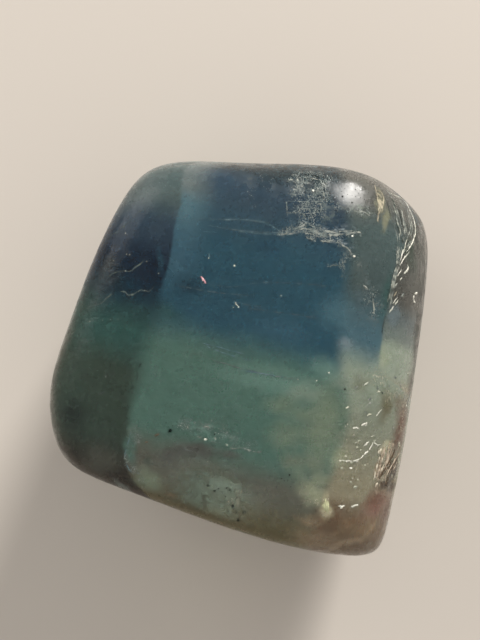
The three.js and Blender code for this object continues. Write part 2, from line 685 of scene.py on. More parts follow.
# The tints that lie within the bands.
TINTS = (
    # the left block, whose tints lie in its painted shade
    tint((-12.1, 7.6), (2.0, 2.4), -20, Hue.CHARCOAL, 0.7, 0.9),
    tint((-10.6, 12.4), (1.7, 1.2), 30, Hue.INDIGO, 0.6, 0.9),
    tint((-8.6, -9.3), (0.8, 0.5), 20, Hue.PINE, 0.6, 0.9),
    tint((-11.2, -11.7), (1.3, 0.6), -30, Hue.PEWTER, 0.6, 0.9),
    tint((-12.3, 8.6), (0.8, 1.2), -24, Hue.BOTTLE, 0.6, 0.9),
    # painted reflection: the soft grey sheen of the room on the upper-left corner
    tint((-9.8, 15.1), (4.4, 1.9), 35, Hue.HAZE, 0.7, 0.9),
    tint((-14.4, 4.6), (1.8, 5.0), -22, Hue.PINE, 0.5, 0.9),
    tint((-15.4, -5.2), (2.3, 1.9), 20, Hue.BOTTLE, 0.8, 0.9),
    tint((-13.0, -9.4), (2.6, 2.2), -20, Hue.ASH, 0.6, 0.9),
    # painted reflection: a pale rim of reflected light along the left and lower-left bevel
    tint((-16.5, 1.2), (0.8, 4.6), -24, Hue.ASH, 0.7, 0.9, 20.5, 2.5),
    tint((-17.6, -3.8), (0.8, 4.2), 2, Hue.ASH, 0.7, 0.9, 20.5, 2.5),
    tint((-15.4, -10.2), (3.4, 0.8), -40, Hue.SMOKE, 0.6, 0.9, 20.5, 3.0),
    tint((-8.8, 7.9), (2.2, 2.7), 10, Hue.NAVY, 0.9, 0.9),
    tint((-8.9, 5.2), (2.6, 0.9), -8, Hue.MIDNIGHT, 0.6, 0.9),
    tint((-7.55, 8.9), (0.6, 1.9), 8, Hue.PETROL, 0.62, 0.8),
    # the middle
    tint((-5.0, 6.6), (2.0, 1.3), -6, Hue.MIDNIGHT, 0.75, 0.9),
    tint((3.2, 2.6), (4.2, 1.6), -8, Hue.STEEL, 0.5, 0.9),
    tint((8.3, 4.2), (2.5, 2.6), -4, Hue.DENIM, 0.65, 0.9),
    tint((2.5, -1.9), (7.5, 1.8), -10, Hue.JADE, 0.55, 0.9),
    tint((4.2, -6.8), (3.2, 2.2), 10, Hue.LICHEN, 0.65, 0.9),
    tint((3.6, -4.2), (2.6, 1.5), -8, Hue.LICHEN, 0.55, 0.9),
    tint((6.4, -9.4), (2.2, 1.6), -30, Hue.SAGE, 0.45, 0.9),
    tint((5.4, -5.0), (1.7, 0.9), 0, Hue.LICHEN, 0.6, 0.9),
    tint((4.4, -9.2), (1.8, 1.4), 0, Hue.SAGE, 0.5, 0.9),
    tint((2.4, 10.2), (2.6, 1.4), -6, Hue.COBALT, 0.5, 0.9),
    tint((-3.6, -12.0), (1.8, 0.9), -10, Hue.PINE, 0.5, 0.9),
    tint((7.3, -6.0), (2.6, 5.4), -6, Hue.LICHEN, 0.75, 0.7),
    tint((9.1, -1.9), (2.6, 1.5), 0, Hue.MIST, 0.6, 0.9),
    tint((-8.5, -11.0), (2.0, 1.4), -32, Hue.LICHEN, 0.8, 0.8),
    tint((-10.2, -8.2), (0.8, 2.4), 6, Hue.SEA, 0.8, 0.7),
    tint((-6.0, -8.5), (2.4, 1.0), 18, Hue.SMOKE, 0.85, 0.8),
    tint((-3.8, -8.4), (2.4, 1.2), 2, Hue.SMOKE, 0.85, 0.7),
    tint((-1.2, -8.5), (1.7, 0.7), -20, Hue.SMOKE, 0.7, 0.8),
    tint((-2.7, -11.9), (4.9, 3.0), -12, Hue.MOSS, 0.8, 0.6),
    tint((-6.4, -12.5), (0.9, 0.4), -12, Hue.TAUPE, 0.6, 0.9),
    # the clear side
    # around the streak's glint: partly the clear body's own paleness, partly painted glow
    tint((6.2, -12.1), (2.2, 1.6), -40, Hue.PEARL, 0.85, 0.9),
    tint((6.9, -10.9), (1.5, 0.9), -10, Hue.PEARL, 0.5, 0.9),
    tint((7.45, -13.35), (0.75, 1.7), -4, Hue.CREAM, 0.9, 0.8),
    tint((12.4, -13.7), (2.8, 1.7), 36, Hue.ROSE, 0.8, 0.9),
    tint((10.4, -15.8), (4.0, 1.3), 12, Hue.TAUPE, 0.6, 0.9),
    tint((6.6, -16.4), (3.8, 1.3), -15, Hue.SAND, 0.7, 0.9),
    tint((12.95, -11.75), (1.3, 0.7), 0, Hue.BARK, 0.9, 0.7, 20.5, 4.5),
    tint((13.65, -12.0), (0.4, 0.65), 0, Hue.ASH, 0.7, 0.7, 20.0, 4.0),
    tint((13.0, -11.2), (0.3, 0.9), -20, Hue.BARK, 0.6, 0.8, 20.5, 3.5),
    tint((14.7, -6.6), (1.3, 4.4), -6, Hue.RUST, 0.95, 0.8, 21.0, 5.0),
    tint((13.9, -12.3), (1.2, 0.75), 10, Hue.BARK, 0.9, 0.8, 18.8, 4.5),
    tint((13.4, -14.5), (1.0, 2.4), -22, Hue.RUST, 0.9, 0.9, 19.0, 5.0),
    tint((11.7, -15.9), (1.5, 0.35), 51, Hue.SAND, 0.75, 0.8),
    tint((9.4, -17.1), (2.8, 0.55), 12, Hue.BUFF, 0.75, 0.9, 21.0, 6.0),
    tint((7.2, -0.9), (2.1, 1.5), -25, Hue.JADE, 0.7, 0.9),
    tint((12.7, -0.1), (1.1, 1.6), 0, Hue.PEARL, 0.5, 0.95),
    tint((14.1, -10.6), (0.75, 1.5), -18, Hue.BARK, 0.85, 0.8, 20.0, 4.5),
    tint((15.7, -2.5), (0.7, 2.4), -3, Hue.BARK, 0.8, 0.8, 19.8, 4.0),
    tint((13.5, 3.7), (0.9, 1.4), -10, Hue.SILVER, 0.6, 0.9),
    tint((10.7, -2.2), (1.4, 1.2), 0, Hue.DRAB, 0.6, 0.9),
    tint((11.4, -16.2), (1.2, 0.9), 40, Hue.TAUPE, 0.6, 0.9),
    tint((13.7, -10.9), (0.65, 1.7), -24, Hue.PEAT, 0.85, 0.7, 20.5, 4.0),
    # painted shade: darkens the right rim
    tint((15.4, 9.5), (0.8, 3.6), 6, Hue.PINE, 0.55, 0.9),
    tint((12.2, -13.0), (1.4, 1.3), 20, Hue.RUST, 0.7, 0.9),
    tint((14.2, -3.9), (0.7, 1.1), 0, Hue.COCOA, 0.6, 0.9),
    tint((5.0, -10.4), (1.2, 1.1), 0, Hue.LICHEN, 0.5, 0.9),
    tint((9.2, 1.2), (1.3, 0.9), 0, Hue.FROST, 0.5, 0.9),
    tint((8.7, -8.9), (1.3, 1.3), 0, Hue.PEARL, 0.6, 0.9),
    tint((5.4, -3.1), (2.6, 1.6), -5, Hue.MIST, 0.6, 0.9),
    tint((5.9, -14.6), (1.7, 0.9), -10, Hue.SAND, 0.6, 0.9),
    tint((13.0, -4.3), (1.2, 2.4), -8, Hue.OLIVE, 0.75, 0.9),
    # painted shade: this tint and the next two darken the right, top-right and top rims
    tint((16.6, 4.0), (1.4, 10.0), -4, Hue.BOTTLE, 1.0, 0.7, 18.5, 4.5),
    tint((15.6, 13.8), (1.2, 3.6), 32, Hue.CHARCOAL, 0.95, 0.7, 18.5, 4.5),
    tint((5.8, 17.0), (8.4, 1.1), -3, Hue.CHARCOAL, 0.9, 0.8, 20.5, 4.5),
    # the cracked ridge, its straw-coloured lobe, and the frost on the worn corner of the show face
    tint((13.0, 5.6), (0.75, 3.4), -12, Hue.LAGOON, 0.7, 0.9),
    tint((14.9, 12.3), (1.2, 2.6), 10, Hue.SMOKE, 0.6, 0.8),
    tint((12.9, 12.6), (0.55, 1.7), -6, Hue.DRAB, 0.9, 0.6),
    tint((12.35, 14.2), (0.6, 1.5), -8, Hue.DRAB, 0.85, 0.6),
    tint((6.9, 14.3), (1.5, 2.0), 0, Hue.PEWTER, 0.5, 0.5, broken=True),
    tint((7.9, 12.7), (1.3, 0.9), 0, Hue.PEWTER, 0.65, 0.8, broken=True),
    tint((10.0, 13.2), (0.8, 0.6), 0, Hue.MIST, 0.5, 0.9, broken=True),
    tint((5.9, 11.8), (2.4, 0.9), -4, Hue.SILVER, 0.75, 0.7, broken=True),
    tint((8.6, 11.5), (2.4, 0.5), -4, Hue.FROST, 0.7, 0.6, broken=True),
    tint((8.3, 10.5), (2.3, 0.45), -24, Hue.FROST, 0.7, 0.6, broken=True),
    tint((10.6, 13.3), (1.6, 0.8), -14, Hue.MIST, 0.6, 0.8, broken=True),
    tint((-3.6, -6.5), (3.8, 0.9), -14, Hue.JADE, 0.75, 0.6, broken=True),
    tint((13.1, -8.6), (0.8, 1.3), -14, Hue.CREAM, 0.9, 0.6, 21.5, 4.5),
    tint((12.5, -10.0), (0.5, 1.4), -18, Hue.BUFF, 0.9, 0.7, 21.5, 4.5),
    tint((10.8, 5.6), (0.9, 3.0), -20, Hue.SILVER, 0.3, 0.8, broken=True),
)


@dataclass(frozen=True)
class FluoriteFinish:
    """Clear fluorite, polished in a barrel, with its growth bands and the haze that clouds it; its body
    colour also carries painted light, shade and reflection.
    """

    name: str = "banded_fluorite"
    ior: float = 1.434
    growth_turn: float = 15.0  # degrees that the bands' direction leans from +Y towards +X
    transmission: float = 0.6
    shine: float = 0.15  # how much light the polish throws back, 0.5 being all that the index gives
    roughness: tuple[float, float] = (0.15, 0.36)  # where the polish is best and worst
    haze_depth: float = 1.4  # mm that light wanders in the haze
    absorption: Colour = (0.35, 0.62, 0.66)
    absorption_density: float = 15.0  # per metre
    gain: float = 1.8  # how much brighter the body is than what is seen of it
    veil_lean: float = 0.45  # mm that the veil moves to +X for each mm down
    # the strip along the veil is painted light that the veil throws back
    strip_width: float = 2.2  # mm
    worn_corner: Patch = Patch((9.6, 14.6, 24.8), (2.0, 2.0, 3.0), 10, (1.0, 1.0, 1.0), 1.0, 0.95)
    corner_roughness: float = 0.15  # how much rougher the worn corner is
    corner_coat: Spot = (0.45, 1.65)  # the roughness and the index of the dust that whitens it
    wisps: Pattern = Pattern(0.16)  # bends the bands softly
    wisp_reach: float = 2.0  # mm
    threads: Pattern = Pattern(1.3)  # bends them finely
    thread_reach: float = 0.5  # mm
    clear_fade: float = 0.8  # mm to each side over which the clear right side begins
    ridge_fade: Spot = (-0.12, 0.2)  # mm from the ridge over which what lies past it begins
    strip_fade: Spot = (1.8, 0.3)  # the shares of its width over which the pale strip fades
    strip_start: Spot = (0.9, 2.6)  # mm along the growth direction over which it begins
    stir: Pattern = Pattern(0.55, 3.0, 0.6)  # loosens the outlines of the tints
    stir_reach: float = 1.6  # mm
    clumps: Pattern = Pattern(1.0, 4.0, 0.7, -6.0, (0.62, 0.38, 0.38))  # what the broken tints break up into
    clump_edge: Spot = (0.47, 0.6)
    streaks: Pattern = Pattern(1.0, 3.0, 0.65, -6.0, (2.6, 0.22, 1.5))
    streak_strength: float = 0.24
    clouds: Pattern = Pattern(0.6, 4.0, 0.6)
    cloud_strength: float = 0.3
    darkest: float = 0.73  # the share of its colour that the body keeps where it has neither
    polish: Pattern = Pattern(0.7, 3.0, 0.65)
    polish_edge: Spot = (0.38, 0.64)
    pits: float = 2.3  # dull pits of the tumbling for each mm
    pit_edge: Spot = (0.04, 0.2)
    pit_bump: Spot = (0.4, 0.04)  # strength, and depth in mm
    rubs: Pattern = Pattern(1.0, 3.0, 0.7, -6.0, (1.4, 0.16, 1.0))  # the fine grain of the rubbing
    rub_bump: Spot = (0.3, 0.03)
    waves: Pattern = Pattern(0.8, 4.0, 0.6)  # the uneven polish
    wave_bump: Spot = (0.3, 0.3)
    layer: int = 30  # how many tints lie side by side, before those that lie over them
    drift: float = 0.02  # mm that a layer of tints is drawn aside by the brightest colour under it

    def zones(self, tree: ShaderTree, place: Socket) -> Socket:
        """Works out the body colour at a place in the stone, from the bands alone.

        Args:
            tree: the material's tree.
            place: the place, in mm.

        Returns:
            The colour there.
        """
        turn = math.radians(self.growth_turn)
        bent = tree.vector("ADD", place, tree.drifts(place, self.wisps, self.wisp_reach))
        bent = tree.vector("ADD", bent, tree.drifts(place, self.threads, self.thread_reach))
        along = tree.vector("DOT_PRODUCT", bent, (math.sin(turn), math.cos(turn), 0.0))
        colours = {block: tree.ramp(along, row) for block, row in ROWS.items()}
        split = tree.node("SeparateXYZ")
        tree.put(split.inputs[0], place)
        x, y, z = split.outputs
        veil = tree.curve(y, VEIL_TRACE)
        lean = tree.maths("MULTIPLY_ADD", tree.maths("SUBTRACT", SHOW_FACE, z), self.veil_lean, veil)
        faded = tree.maths("DIVIDE", tree.maths("SUBTRACT", x, lean), tree.curve(y, VEIL_FADE))
        # from the veil's painted shade on the left to the lit side
        past_veil = tree.step(faded, -1.0, 1.0)
        past_clear = tree.maths("SUBTRACT", x, tree.curve(y, CLEAR_TRACE))
        clear = tree.step(past_clear, -self.clear_fade, self.clear_fade)
        ridge = tree.step(tree.maths("SUBTRACT", x, tree.curve(y, RIDGE_TRACE)), *self.ridge_fade)
        fade = (self.strip_width * share for share in self.strip_fade)
        # the strip of painted light along the veil
        strip = tree.step(tree.maths("SUBTRACT", x, lean), *fade)
        strip = tree.maths("MULTIPLY", strip, tree.step(along, *self.strip_start))
        inner = tree.mix(strip, colours[Block.MIDDLE], colours[Block.STRIP])
        body = tree.mix(past_veil, colours[Block.LEFT], inner)
        body = tree.mix(clear, body, colours[Block.RIGHT])
        # past the ridge the colour is partly painted reflection
        return tree.mix(ridge, body, colours[Block.EDGE])

    def body(self, tree: ShaderTree, place: Socket) -> Socket:
        """Works out the whole body colour at a place: bands, tints, clouds and streaks.

        Args:
            tree: the material's tree.
            place: the place, in mm.

        Returns:
            The colour there.
        """
        colour = self.zones(tree, place)
        loose = tree.vector("ADD", place, tree.drifts(place, self.stir, self.stir_reach))
        clumps = tree.step(tree.pattern(place, self.clumps), *self.clump_edge)
        for first in range(0, len(TINTS), self.layer):
            for patch in TINTS[first:first + self.layer]:
                colour = tree.mix(tree.spot(loose, patch, clumps), colour, patch.colour)
            loose = tree.vector("MULTIPLY_ADD", colour, (self.drift,) * 3, loose)
        streaks, clouds = tree.pattern(place, self.streaks), tree.pattern(place, self.clouds)
        lightness = tree.maths("MULTIPLY_ADD", streaks, self.streak_strength, self.darkest)
        lightness = tree.maths("MULTIPLY_ADD", clouds, self.cloud_strength, lightness)
        return tree.mix(1.0, colour, tree.vector("SCALE", (1.0, 1.0, 1.0), lightness), "MULTIPLY")

    def make(self) -> bpy.types.Material:
        """Makes the material."""
        tree = ShaderTree(self.name)
        place = tree.place()
        worn = tree.spot(place, self.worn_corner)
        wear = tree.step(tree.pattern(place, self.polish), *self.polish_edge, self.roughness)
        shader = tree.node("BsdfPrincipled")
        tree.fill(shader, Base_Color=tree.vector("SCALE", self.body(tree, place), self.gain))
        tree.fill(shader, Roughness=tree.maths("MULTIPLY_ADD", worn, self.corner_roughness, wear))
        tree.fill(shader, Coat_Weight=worn, Coat_Roughness=self.corner_coat[0], Coat_IOR=self.corner_coat[1])
        tree.fill(shader, IOR=self.ior, Specular_IOR_Level=self.shine, Transmission_Weight=self.transmission)
        tree.fill(shader, Subsurface_Weight=1.0, Subsurface_Radius=(1.0, 1.0, 1.0))
        tree.fill(shader, Subsurface_Scale=self.haze_depth * METRE)
        dents = tree.fill(tree.node("TexVoronoi"), Vector=place, Scale=self.pits)
        pits = tree.bump(tree.step(dents.outputs["Distance"], *self.pit_edge), *self.pit_bump)
        rubs = tree.bump(tree.pattern(place, self.rubs), *self.rub_bump, pits)
        tree.fill(shader, Normal=tree.bump(tree.pattern(place, self.waves), *self.wave_bump, rubs))
        volume = tree.node("VolumeAbsorption")
        return tree.finish(shader, tree.fill(volume, Color=self.absorption, Density=self.absorption_density))


@dataclass(frozen=True)
class Wear:
    """A worn place on the show side: its middle and reach in mm, and how it changes the skin there.

    The skin is lifted by `lift` mm in the middle, and bent along and across the nearest edge, in mm for each
    square mm.
    """

    at: Spot
    reach: float
    lift: float = 0.0
    along: float = 0.0
    across: float = 0.0


@dataclass(frozen=True)
class Ripples:
    """Shell-like ripples of a break: their centre, reach, spacing and height, in mm."""

    at: Spot
    middle: Spot
    reach: float
    spacing: float
    height: float


WORN = (
    Wear((9.55, 14.85), 2.6, along=-0.02, across=0.06),
    Wear((9.6, -14.3), 1.2, lift=-0.12),
    Wear((13.9, -11.9), 1.1, lift=-0.14),
    Wear((12.4, 14.2), 0.9, lift=-0.08),
    Wear((-14.6, -4.9), 1.6, lift=-0.06),
    Wear((5.6, 14.4), 2.4, lift=-0.05),
    Wear((13.4, -9.6), 1.4, lift=-0.08),
)
RIPPLED = (
    Ripples((9.2, -5.6), (10.8, -8.2), 3.2, 1.15, 0.03),
    Ripples((9.4, -2.2), (11.4, -4.8), 2.6, 1.3, 0.025),
    Ripples((12.0, 8.8), (14.6, 11.2), 2.6, 0.9, 0.03),
    Ripples((-2.6, -12.4), (-2.0, -7.9), 2.4, 1.2, 0.02),
)


@dataclass
class Stone:
    """The worn block itself."""

    name: str = "fluorite_stone"
    levels: int = 2
    finish: FluoriteFinish = field(default_factory=FluoriteFinish)

    def build(self) -> bpy.types.Object:
        """Makes the stone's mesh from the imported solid's own, smoothed finer.

        Returns:
            The finished piece.
        """
        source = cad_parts[NODE]
        mesh = bpy.data.meshes.new(self.name)
        work = bmesh.new()
        work.from_mesh(source.data)
        bmesh.ops.remove_doubles(work, verts=work.verts, dist=1e-6)
        bmesh.ops.join_triangles(
            work, faces=work.faces, angle_face_threshold=math.pi, angle_shape_threshold=math.pi
        )
        bmesh.ops.recalc_face_normals(work, faces=work.faces)
        work.to_mesh(mesh)
        work.free()
        piece = new_piece(self.name, mesh)
        smooth = piece.modifiers.new("finer", "SUBSURF")
        smooth.levels = smooth.render_levels = self.levels
        piece = settle(piece)
        self.wear(piece.data)
        piece.data.shade_smooth()
        piece.data.materials.clear()
        piece.data.materials.append(self.finish.make())
        return piece

    def wear(self, mesh: bpy.types.Mesh) -> None:
        """Moves the skin where it is worn or broken.

        Args:
            mesh: the stone's mesh, which is changed.
        """
        places = np.array([vertex.co for vertex in mesh.vertices]) / METRE
        normals = np.array([vertex.normal for vertex in mesh.vertices])
        upper = places[:, 2] > HALF_HEIGHT
        moved = np.zeros(len(places))
        for worn in WORN:
            away = np.where(upper, np.hypot(*(places[:, :2] - worn.at).T), np.inf)
            middle, facing = places[away.argmin()], normals[away.argmin()]
            along = np.cross(facing, (0.0, 0.0, 1.0))
            along /= np.linalg.norm(along)
            offset = places - middle
            fade = np.clip(1 - (offset**2).sum(axis=1) / worn.reach**2, 0, 1) ** 2
            bend = worn.along * (offset @ along) ** 2 + worn.across * (offset @ np.cross(facing, along)) ** 2
            moved += fade * (worn.lift + bend)
        for rippled in RIPPLED:
            away = np.hypot(*(places[:, :2] - rippled.middle).T)
            fade = np.where(upper, np.clip(1 - (away / rippled.reach) ** 2, 0, 1), 0)
            rings = np.hypot(*(places[:, :2] - rippled.at).T) / rippled.spacing
            moved += fade * rippled.height * np.sin(rings * math.tau)
        places += normals * moved[:, None]
        mesh.vertices.foreach_set("co", (places * METRE).astype(np.float32).ravel())
        mesh.update()


class Skin:
    """Finds places on the stone's skin, in mm."""

    def __init__(self, stone: bpy.types.Object) -> None:
        """Reads the finished stone's mesh.

        Args:
            stone: the finished stone.
        """
        self.mesh = stone.data
        corners = [tuple(vertex.co / METRE) for vertex in self.mesh.vertices]
        self.tree = BVHTree.FromPolygons(corners, [tuple(face.vertices) for face in self.mesh.polygons])

    def below(self, x: float, y: float) -> tuple[Vector, Vector]:
        """Finds the place on the skin under a spot, or the nearest one where the spot is off the stone.

        Args:
            x: the spot's place along X, in mm.
            y: the spot's place along Y, in mm.

        Returns:
            The place, and the way the skin faces there.
        """
        place, normal, _, _ = self.tree.ray_cast(Vector((x, y, ABOVE)), Vector((0, 0, -1)))
        if place is None:
            place, normal, _, _ = self.tree.find_nearest(Vector((x, y, SHOW_FACE - HALF_HEIGHT)))
        return place, normal

    def along(self, start: Vector, aim: Vector) -> tuple[Vector, Vector]:
        """The place where a ray from inside the stone comes out, and the way the skin faces there."""
        place, normal, _, _ = self.tree.ray_cast(start, aim)
        return place, normal if normal.dot(aim) > 0 else -normal

    def beside(self, near: Vector) -> tuple[Vector, Vector]:
        """The place nearest to a point and the way the skin faces there."""
        place, normal, _, _ = self.tree.find_nearest(near)
        return place, normal


@dataclass(frozen=True)
class GlintFinish:
    """What a crack, flake or speck shows: one colour, cloudier in places."""

    name: str
    bright: Colour
    dull: Colour
    roughness: float = 0.6
    shine: float = 0.5
    grain: float = 2.2  # clouds for each mm

    def make(self) -> bpy.types.Material:
        """Makes the material."""
        tree = ShaderTree(self.name)
        shader = tree.node("BsdfPrincipled")
        clouds = tree.noise(tree.place(), self.grain, 2.0)
        tree.put(shader.inputs["Base Color"], tree.mix(tree.step(clouds, 0.4, 0.62), self.dull, self.bright))
        tree.put(shader.inputs["Roughness"], self.roughness)
        tree.put(shader.inputs["Specular IOR Level"], self.shine)
        return tree.finish(shader)


class Glint(Enum):
    """The finishes of the marks on the stone; SILVER, PEARL and YELLOW are painted glints where cracks catch
    the light.
    """

    # painted glints: bright where crack faces and ripple crests catch the light
    SILVER = GlintFinish("bright_crack_glint", from_screen(240, 238, 226), from_screen(186, 188, 174))
    # painted glints, dimmer than the silver ones
    PEARL = GlintFinish("pale_crack_glint", from_screen(206, 206, 186), from_screen(158, 162, 144))
    GREY = GlintFinish("grey_crack", from_screen(148, 152, 142), from_screen(94, 102, 98))
    FROST = GlintFinish("frosted_flake", from_screen(150, 156, 150), from_screen(110, 121, 118))
    BLUE = GlintFinish("healed_crack", from_screen(72, 94, 100), from_screen(50, 74, 82))
    OLIVE = GlintFinish("dim_crack", from_screen(82, 94, 86), from_screen(54, 68, 68))
    STRAW = GlintFinish("straw_crack", from_screen(160, 152, 128), from_screen(118, 113, 95))
    # painted glint: the streak where an inner cleavage corner catches the light
    YELLOW = GlintFinish("streak_glint", from_screen(190, 192, 154), from_screen(166, 168, 132))
    BUFF = GlintFinish("buff_crack", from_screen(214, 208, 188), from_screen(168, 160, 140))
    PINK = GlintFinish("rosy_mark", from_screen(240, 190, 192), from_screen(196, 140, 148))
    TEAL = GlintFinish("pale_thread", from_screen(96, 122, 128), from_screen(66, 96, 106))
    FAWN = GlintFinish("fawn_streak", from_screen(190, 176, 156), from_screen(146, 132, 114))
    UMBER = GlintFinish("umber_gap", from_screen(92, 78, 62), from_screen(70, 58, 46), 0.7, 0.1)
    SHADE = GlintFinish("shaded_crack", from_screen(58, 66, 60), from_screen(34, 44, 42), 0.7, 0.1)
    DARK = GlintFinish("dark_speck", from_screen(26, 34, 30), from_screen(6, 9, 8), 0.8, 0.0)


@dataclass(frozen=True)
class Line:
    """One crack's path on the show face in mm, its width, and how broken it is from 0 to 1."""

    path: Path
    width: float = 0.12
    broken: float = 0.4


def lines(*rows: tuple) -> tuple[Line, ...]:
    """Makes lines of rows that hold a width, how broken the line is, and the spots of its path."""
    return tuple(Line(tuple(spots), width, broken) for width, broken, *spots in rows)


def smoothed(path: Sequence[Spot], step: float) -> list[Spot]:
    """Runs an even line of points along a rounded path.

    Args:
        path: the points that it passes through.
        step: the distance between the new points, in mm.

    Returns:
        The new points.
    """
    points = [path[0], *path, path[-1]]
    run: list[Spot] = []
    for before, start, end, after in zip(points, points[1:], points[2:], points[3:]):
        count = max(1, round(math.dist(start, end) / step))
        for share in (i / count for i in range(count)):
            run.append(tuple(
                0.5 * (2 * b + (c - a) * share + (2 * a - 5 * b + 4 * c - d) * share**2
                       + (3 * b - a - 3 * c + d) * share**3)
                for a, b, c, d in zip(before, start, end, after)
            ))
    return [*run, path[-1]]


def family(
    first: Path, last: Path, count: int, widths: Spot, broken: float, seed: int, span: float = 0.6
) -> tuple[Line, ...]:
    """Lays lines side by side between two paths of as many points.

    Args:
        first: the path on one side.
        last: the path on the other.
        count: how many lines there are.
        widths: the narrowest and the widest, in mm.
        broken: how broken they are.
        seed: what the random choices start from.
        span: the least share of the paths' length that a line runs for.

    Returns:
        The lines.
    """
    rng = random.Random(seed)
    made = []
    for index in range(count):
        share = (index + rng.uniform(0.2, 0.8)) / count
        path = [tuple(a + (b - a) * share for a, b in zip(*pair)) for pair in zip(first, last)]
        points = smoothed(path, 0.3)
        length = rng.uniform(span, 1.0)
        start = rng.uniform(0, 1 - length)
        part = points[round(start * len(points)):max(3, round((start + length) * len(points)))]
        made.append(Line(tuple(part), rng.uniform(*widths), broken))
    return tuple(made)


def crack_tree() -> GrowTree:
    """The tree that turns paths on the skin into cracks: a thin closed ribbon, set with rough chips."""
    tree = GrowTree("cracks")
    names = ("Step", "Flatness", "Chip", "Depth", "Skew")
    step, flatness, chip, depth, skew = (tree.ask(name) for name in names)
    seed = tree.ask("Seed", "Int")
    material = tree.ask("Material", "Material")
    line = tree.fill(tree.node("MeshToCurve"), Mesh=tree.entry.outputs["Geometry"]).outputs[0]
    even = tree.node("ResampleCurve", mode="LENGTH")
    line = tree.fill(even, Curve=line, Length=step).outputs[0]
    normal = tree.carried(NORMAL, "FLOAT_VECTOR")
    facing = tree.node("SetCurveNormal", mode="FREE")
    line = tree.fill(facing, Curve=line, Normal=normal).outputs[0]
    along = tree.node("SplineParameter").outputs["Factor"]
    ends = tree.maths("POWER", tree.maths("SINE", tree.maths("MULTIPLY", along, math.pi)), 0.5)
    place = tree.node("InputPosition").outputs[0]
    moved = tree.vector("ADD", place, tree.vector("SCALE", (0.013, 0.007, 0.011), seed))
    gaps = tree.step(tree.noise(moved, 1600.0, 3.0), 0.44, 0.56)
    whole = tree.maths("SUBTRACT", 1.0, tree.maths("MULTIPLY", tree.carried(BROKEN), gaps))
    wide = tree.maths("MULTIPLY", tree.maths("MULTIPLY", ends, whole), tree.carried(WIDTH))
    section = tree.node("CurvePrimitiveQuadrilateral")
    tree.fill(section, Width=flatness, Height=0.7)
    ribbon = tree.node("CurveToMesh")
    tree.fill(ribbon, Curve=line, Profile_Curve=section.outputs[0], Scale=wide, Fill_Caps=True)
    way = tree.node("InputTangent").outputs[0]
    dotted = tree.node("ResampleCurve", mode="LENGTH")
    tree.fill(dotted, Curve=line, Length=tree.maths("MULTIPLY", chip, 0.55))
    aside = tree.vector("SCALE", tree.vector("CROSS_PRODUCT", way, normal), tree.chance(-0.4, 0.4, seed))
    shifted = tree.vector("SCALE", aside, tree.carried(WIDTH))
    spots = tree.fill(tree.node("SetPosition"), Geometry=dotted.outputs[0], Offset=shifted)
    facing = tree.node("FunctionNodeAxesToRotation", primary_axis="Z", secondary_axis="X")
    tree.fill(facing, Primary_Axis=normal, Secondary_Axis=way)
    aslant = tree.node("FunctionNodeAxisAngleToRotation")
    lean = tree.maths("MULTIPLY", tree.chance(-1.0, 1.0, seed), skew)
    tree.fill(aslant, Axis=(0.0, 0.0, 1.0), Angle=lean)
    turned = tree.node("FunctionNodeRotateRotation", rotation_space="LOCAL")
    tree.put(turned.inputs[0], facing.outputs[0])
    tree.put(turned.inputs[1], aslant.outputs[0])
    size = tree.node("ShaderNodeCombineXYZ")
    across = tree.maths("MULTIPLY", wide, tree.chance(0.5, 1.1, seed))
    tree.fill(size, X=tree.maths("MULTIPLY", chip, tree.chance(0.5, 1.4, seed)), Y=across, Z=depth)
    flake = tree.node("MeshCylinder", fill_type="NGON")
    tree.fill(flake, Vertices=5, Side_Segments=1, Radius=0.5, Depth=1.0)
    chips = tree.node("InstanceOnPoints")
    tree.fill(chips, Points=spots.outputs[0], Instance=flake.outputs["Mesh"], Scale=size.outputs[0])
    tree.fill(chips, Rotation=turned.outputs[0])
    tree.fill(chips, Selection=tree.maths("LESS_THAN", tree.chance(0.0, 1.0, seed), whole))
    both = tree.node("JoinGeometry")
    tree.links.new(chips.outputs[0], both.inputs[0])
    tree.links.new(ribbon.outputs[0], both.inputs[0])
    tree.end(both.outputs[0], material)
    return tree


@dataclass
class Cracks:
    """A set of cracks of one finish, each a thin ribbon let into the skin."""

    name: str
    glint: Glint
    lines: tuple[Line, ...] = ()
    step: float = 0.16  # mm
    flatness: float = 0.15  # thickness over width
    chip: float = 0.17  # the length of the rough chips along it, mm
    depth: float = 0.02  # their thickness, mm
    skew: float = 0.5  # how far they turn from the path, in radians
    wander: float = 0.02  # mm that a crack strays from its path
    seed: int = 1

    def runs(self, skin: Skin) -> Iterator[tuple[Line, list[tuple[Vector, Vector]]]]:
        """Lays each path on the skin.

        Args:
            skin: the stone's skin.

        Yields:
            Each line, with its places and the ways that the skin faces there.
        """
        rng = random.Random(self.seed)
        for line in self.lines:
            strayed = [
                tuple(part + rng.uniform(-self.wander, self.wander) for part in spot)
                for spot in smoothed(line.path, self.step)
            ]
            yield line, [skin.below(*spot) for spot in strayed]

    def build(self, skin: Skin, tree: GrowTree) -> bpy.types.Object:
        """Lays the paths on the skin and grows the ribbons.

        Args:
            skin: the stone's skin.
            tree: the tree that grows them.

        Returns:
            The finished piece.
        """
        places, normals, widths, gaps, edges = [], [], [], [], []
        for line, run in self.runs(skin):
            edges += [(len(places) + index, len(places) + index + 1) for index in range(len(run) - 1)]
            places += [place * METRE for place, _ in run]
            normals += [normal for _, normal in run]
            widths += [line.width * METRE] * len(run)
            gaps += [line.broken] * len(run)
        mesh = bpy.data.meshes.new(self.name)
        mesh.from_pydata(places, edges, [])
        carry(mesh, NORMAL, "FLOAT_VECTOR", normals)
        carry(mesh, WIDTH, "FLOAT", widths)
        carry(mesh, BROKEN, "FLOAT", gaps)
        values = {
            "Step": self.step * METRE, "Flatness": self.flatness, "Chip": self.chip * METRE,
            "Depth": self.depth * METRE, "Skew": self.skew, "Seed": self.seed,
            "Material": self.glint.value.make(),
        }
        return tree.grow(new_piece(self.name, mesh), values)


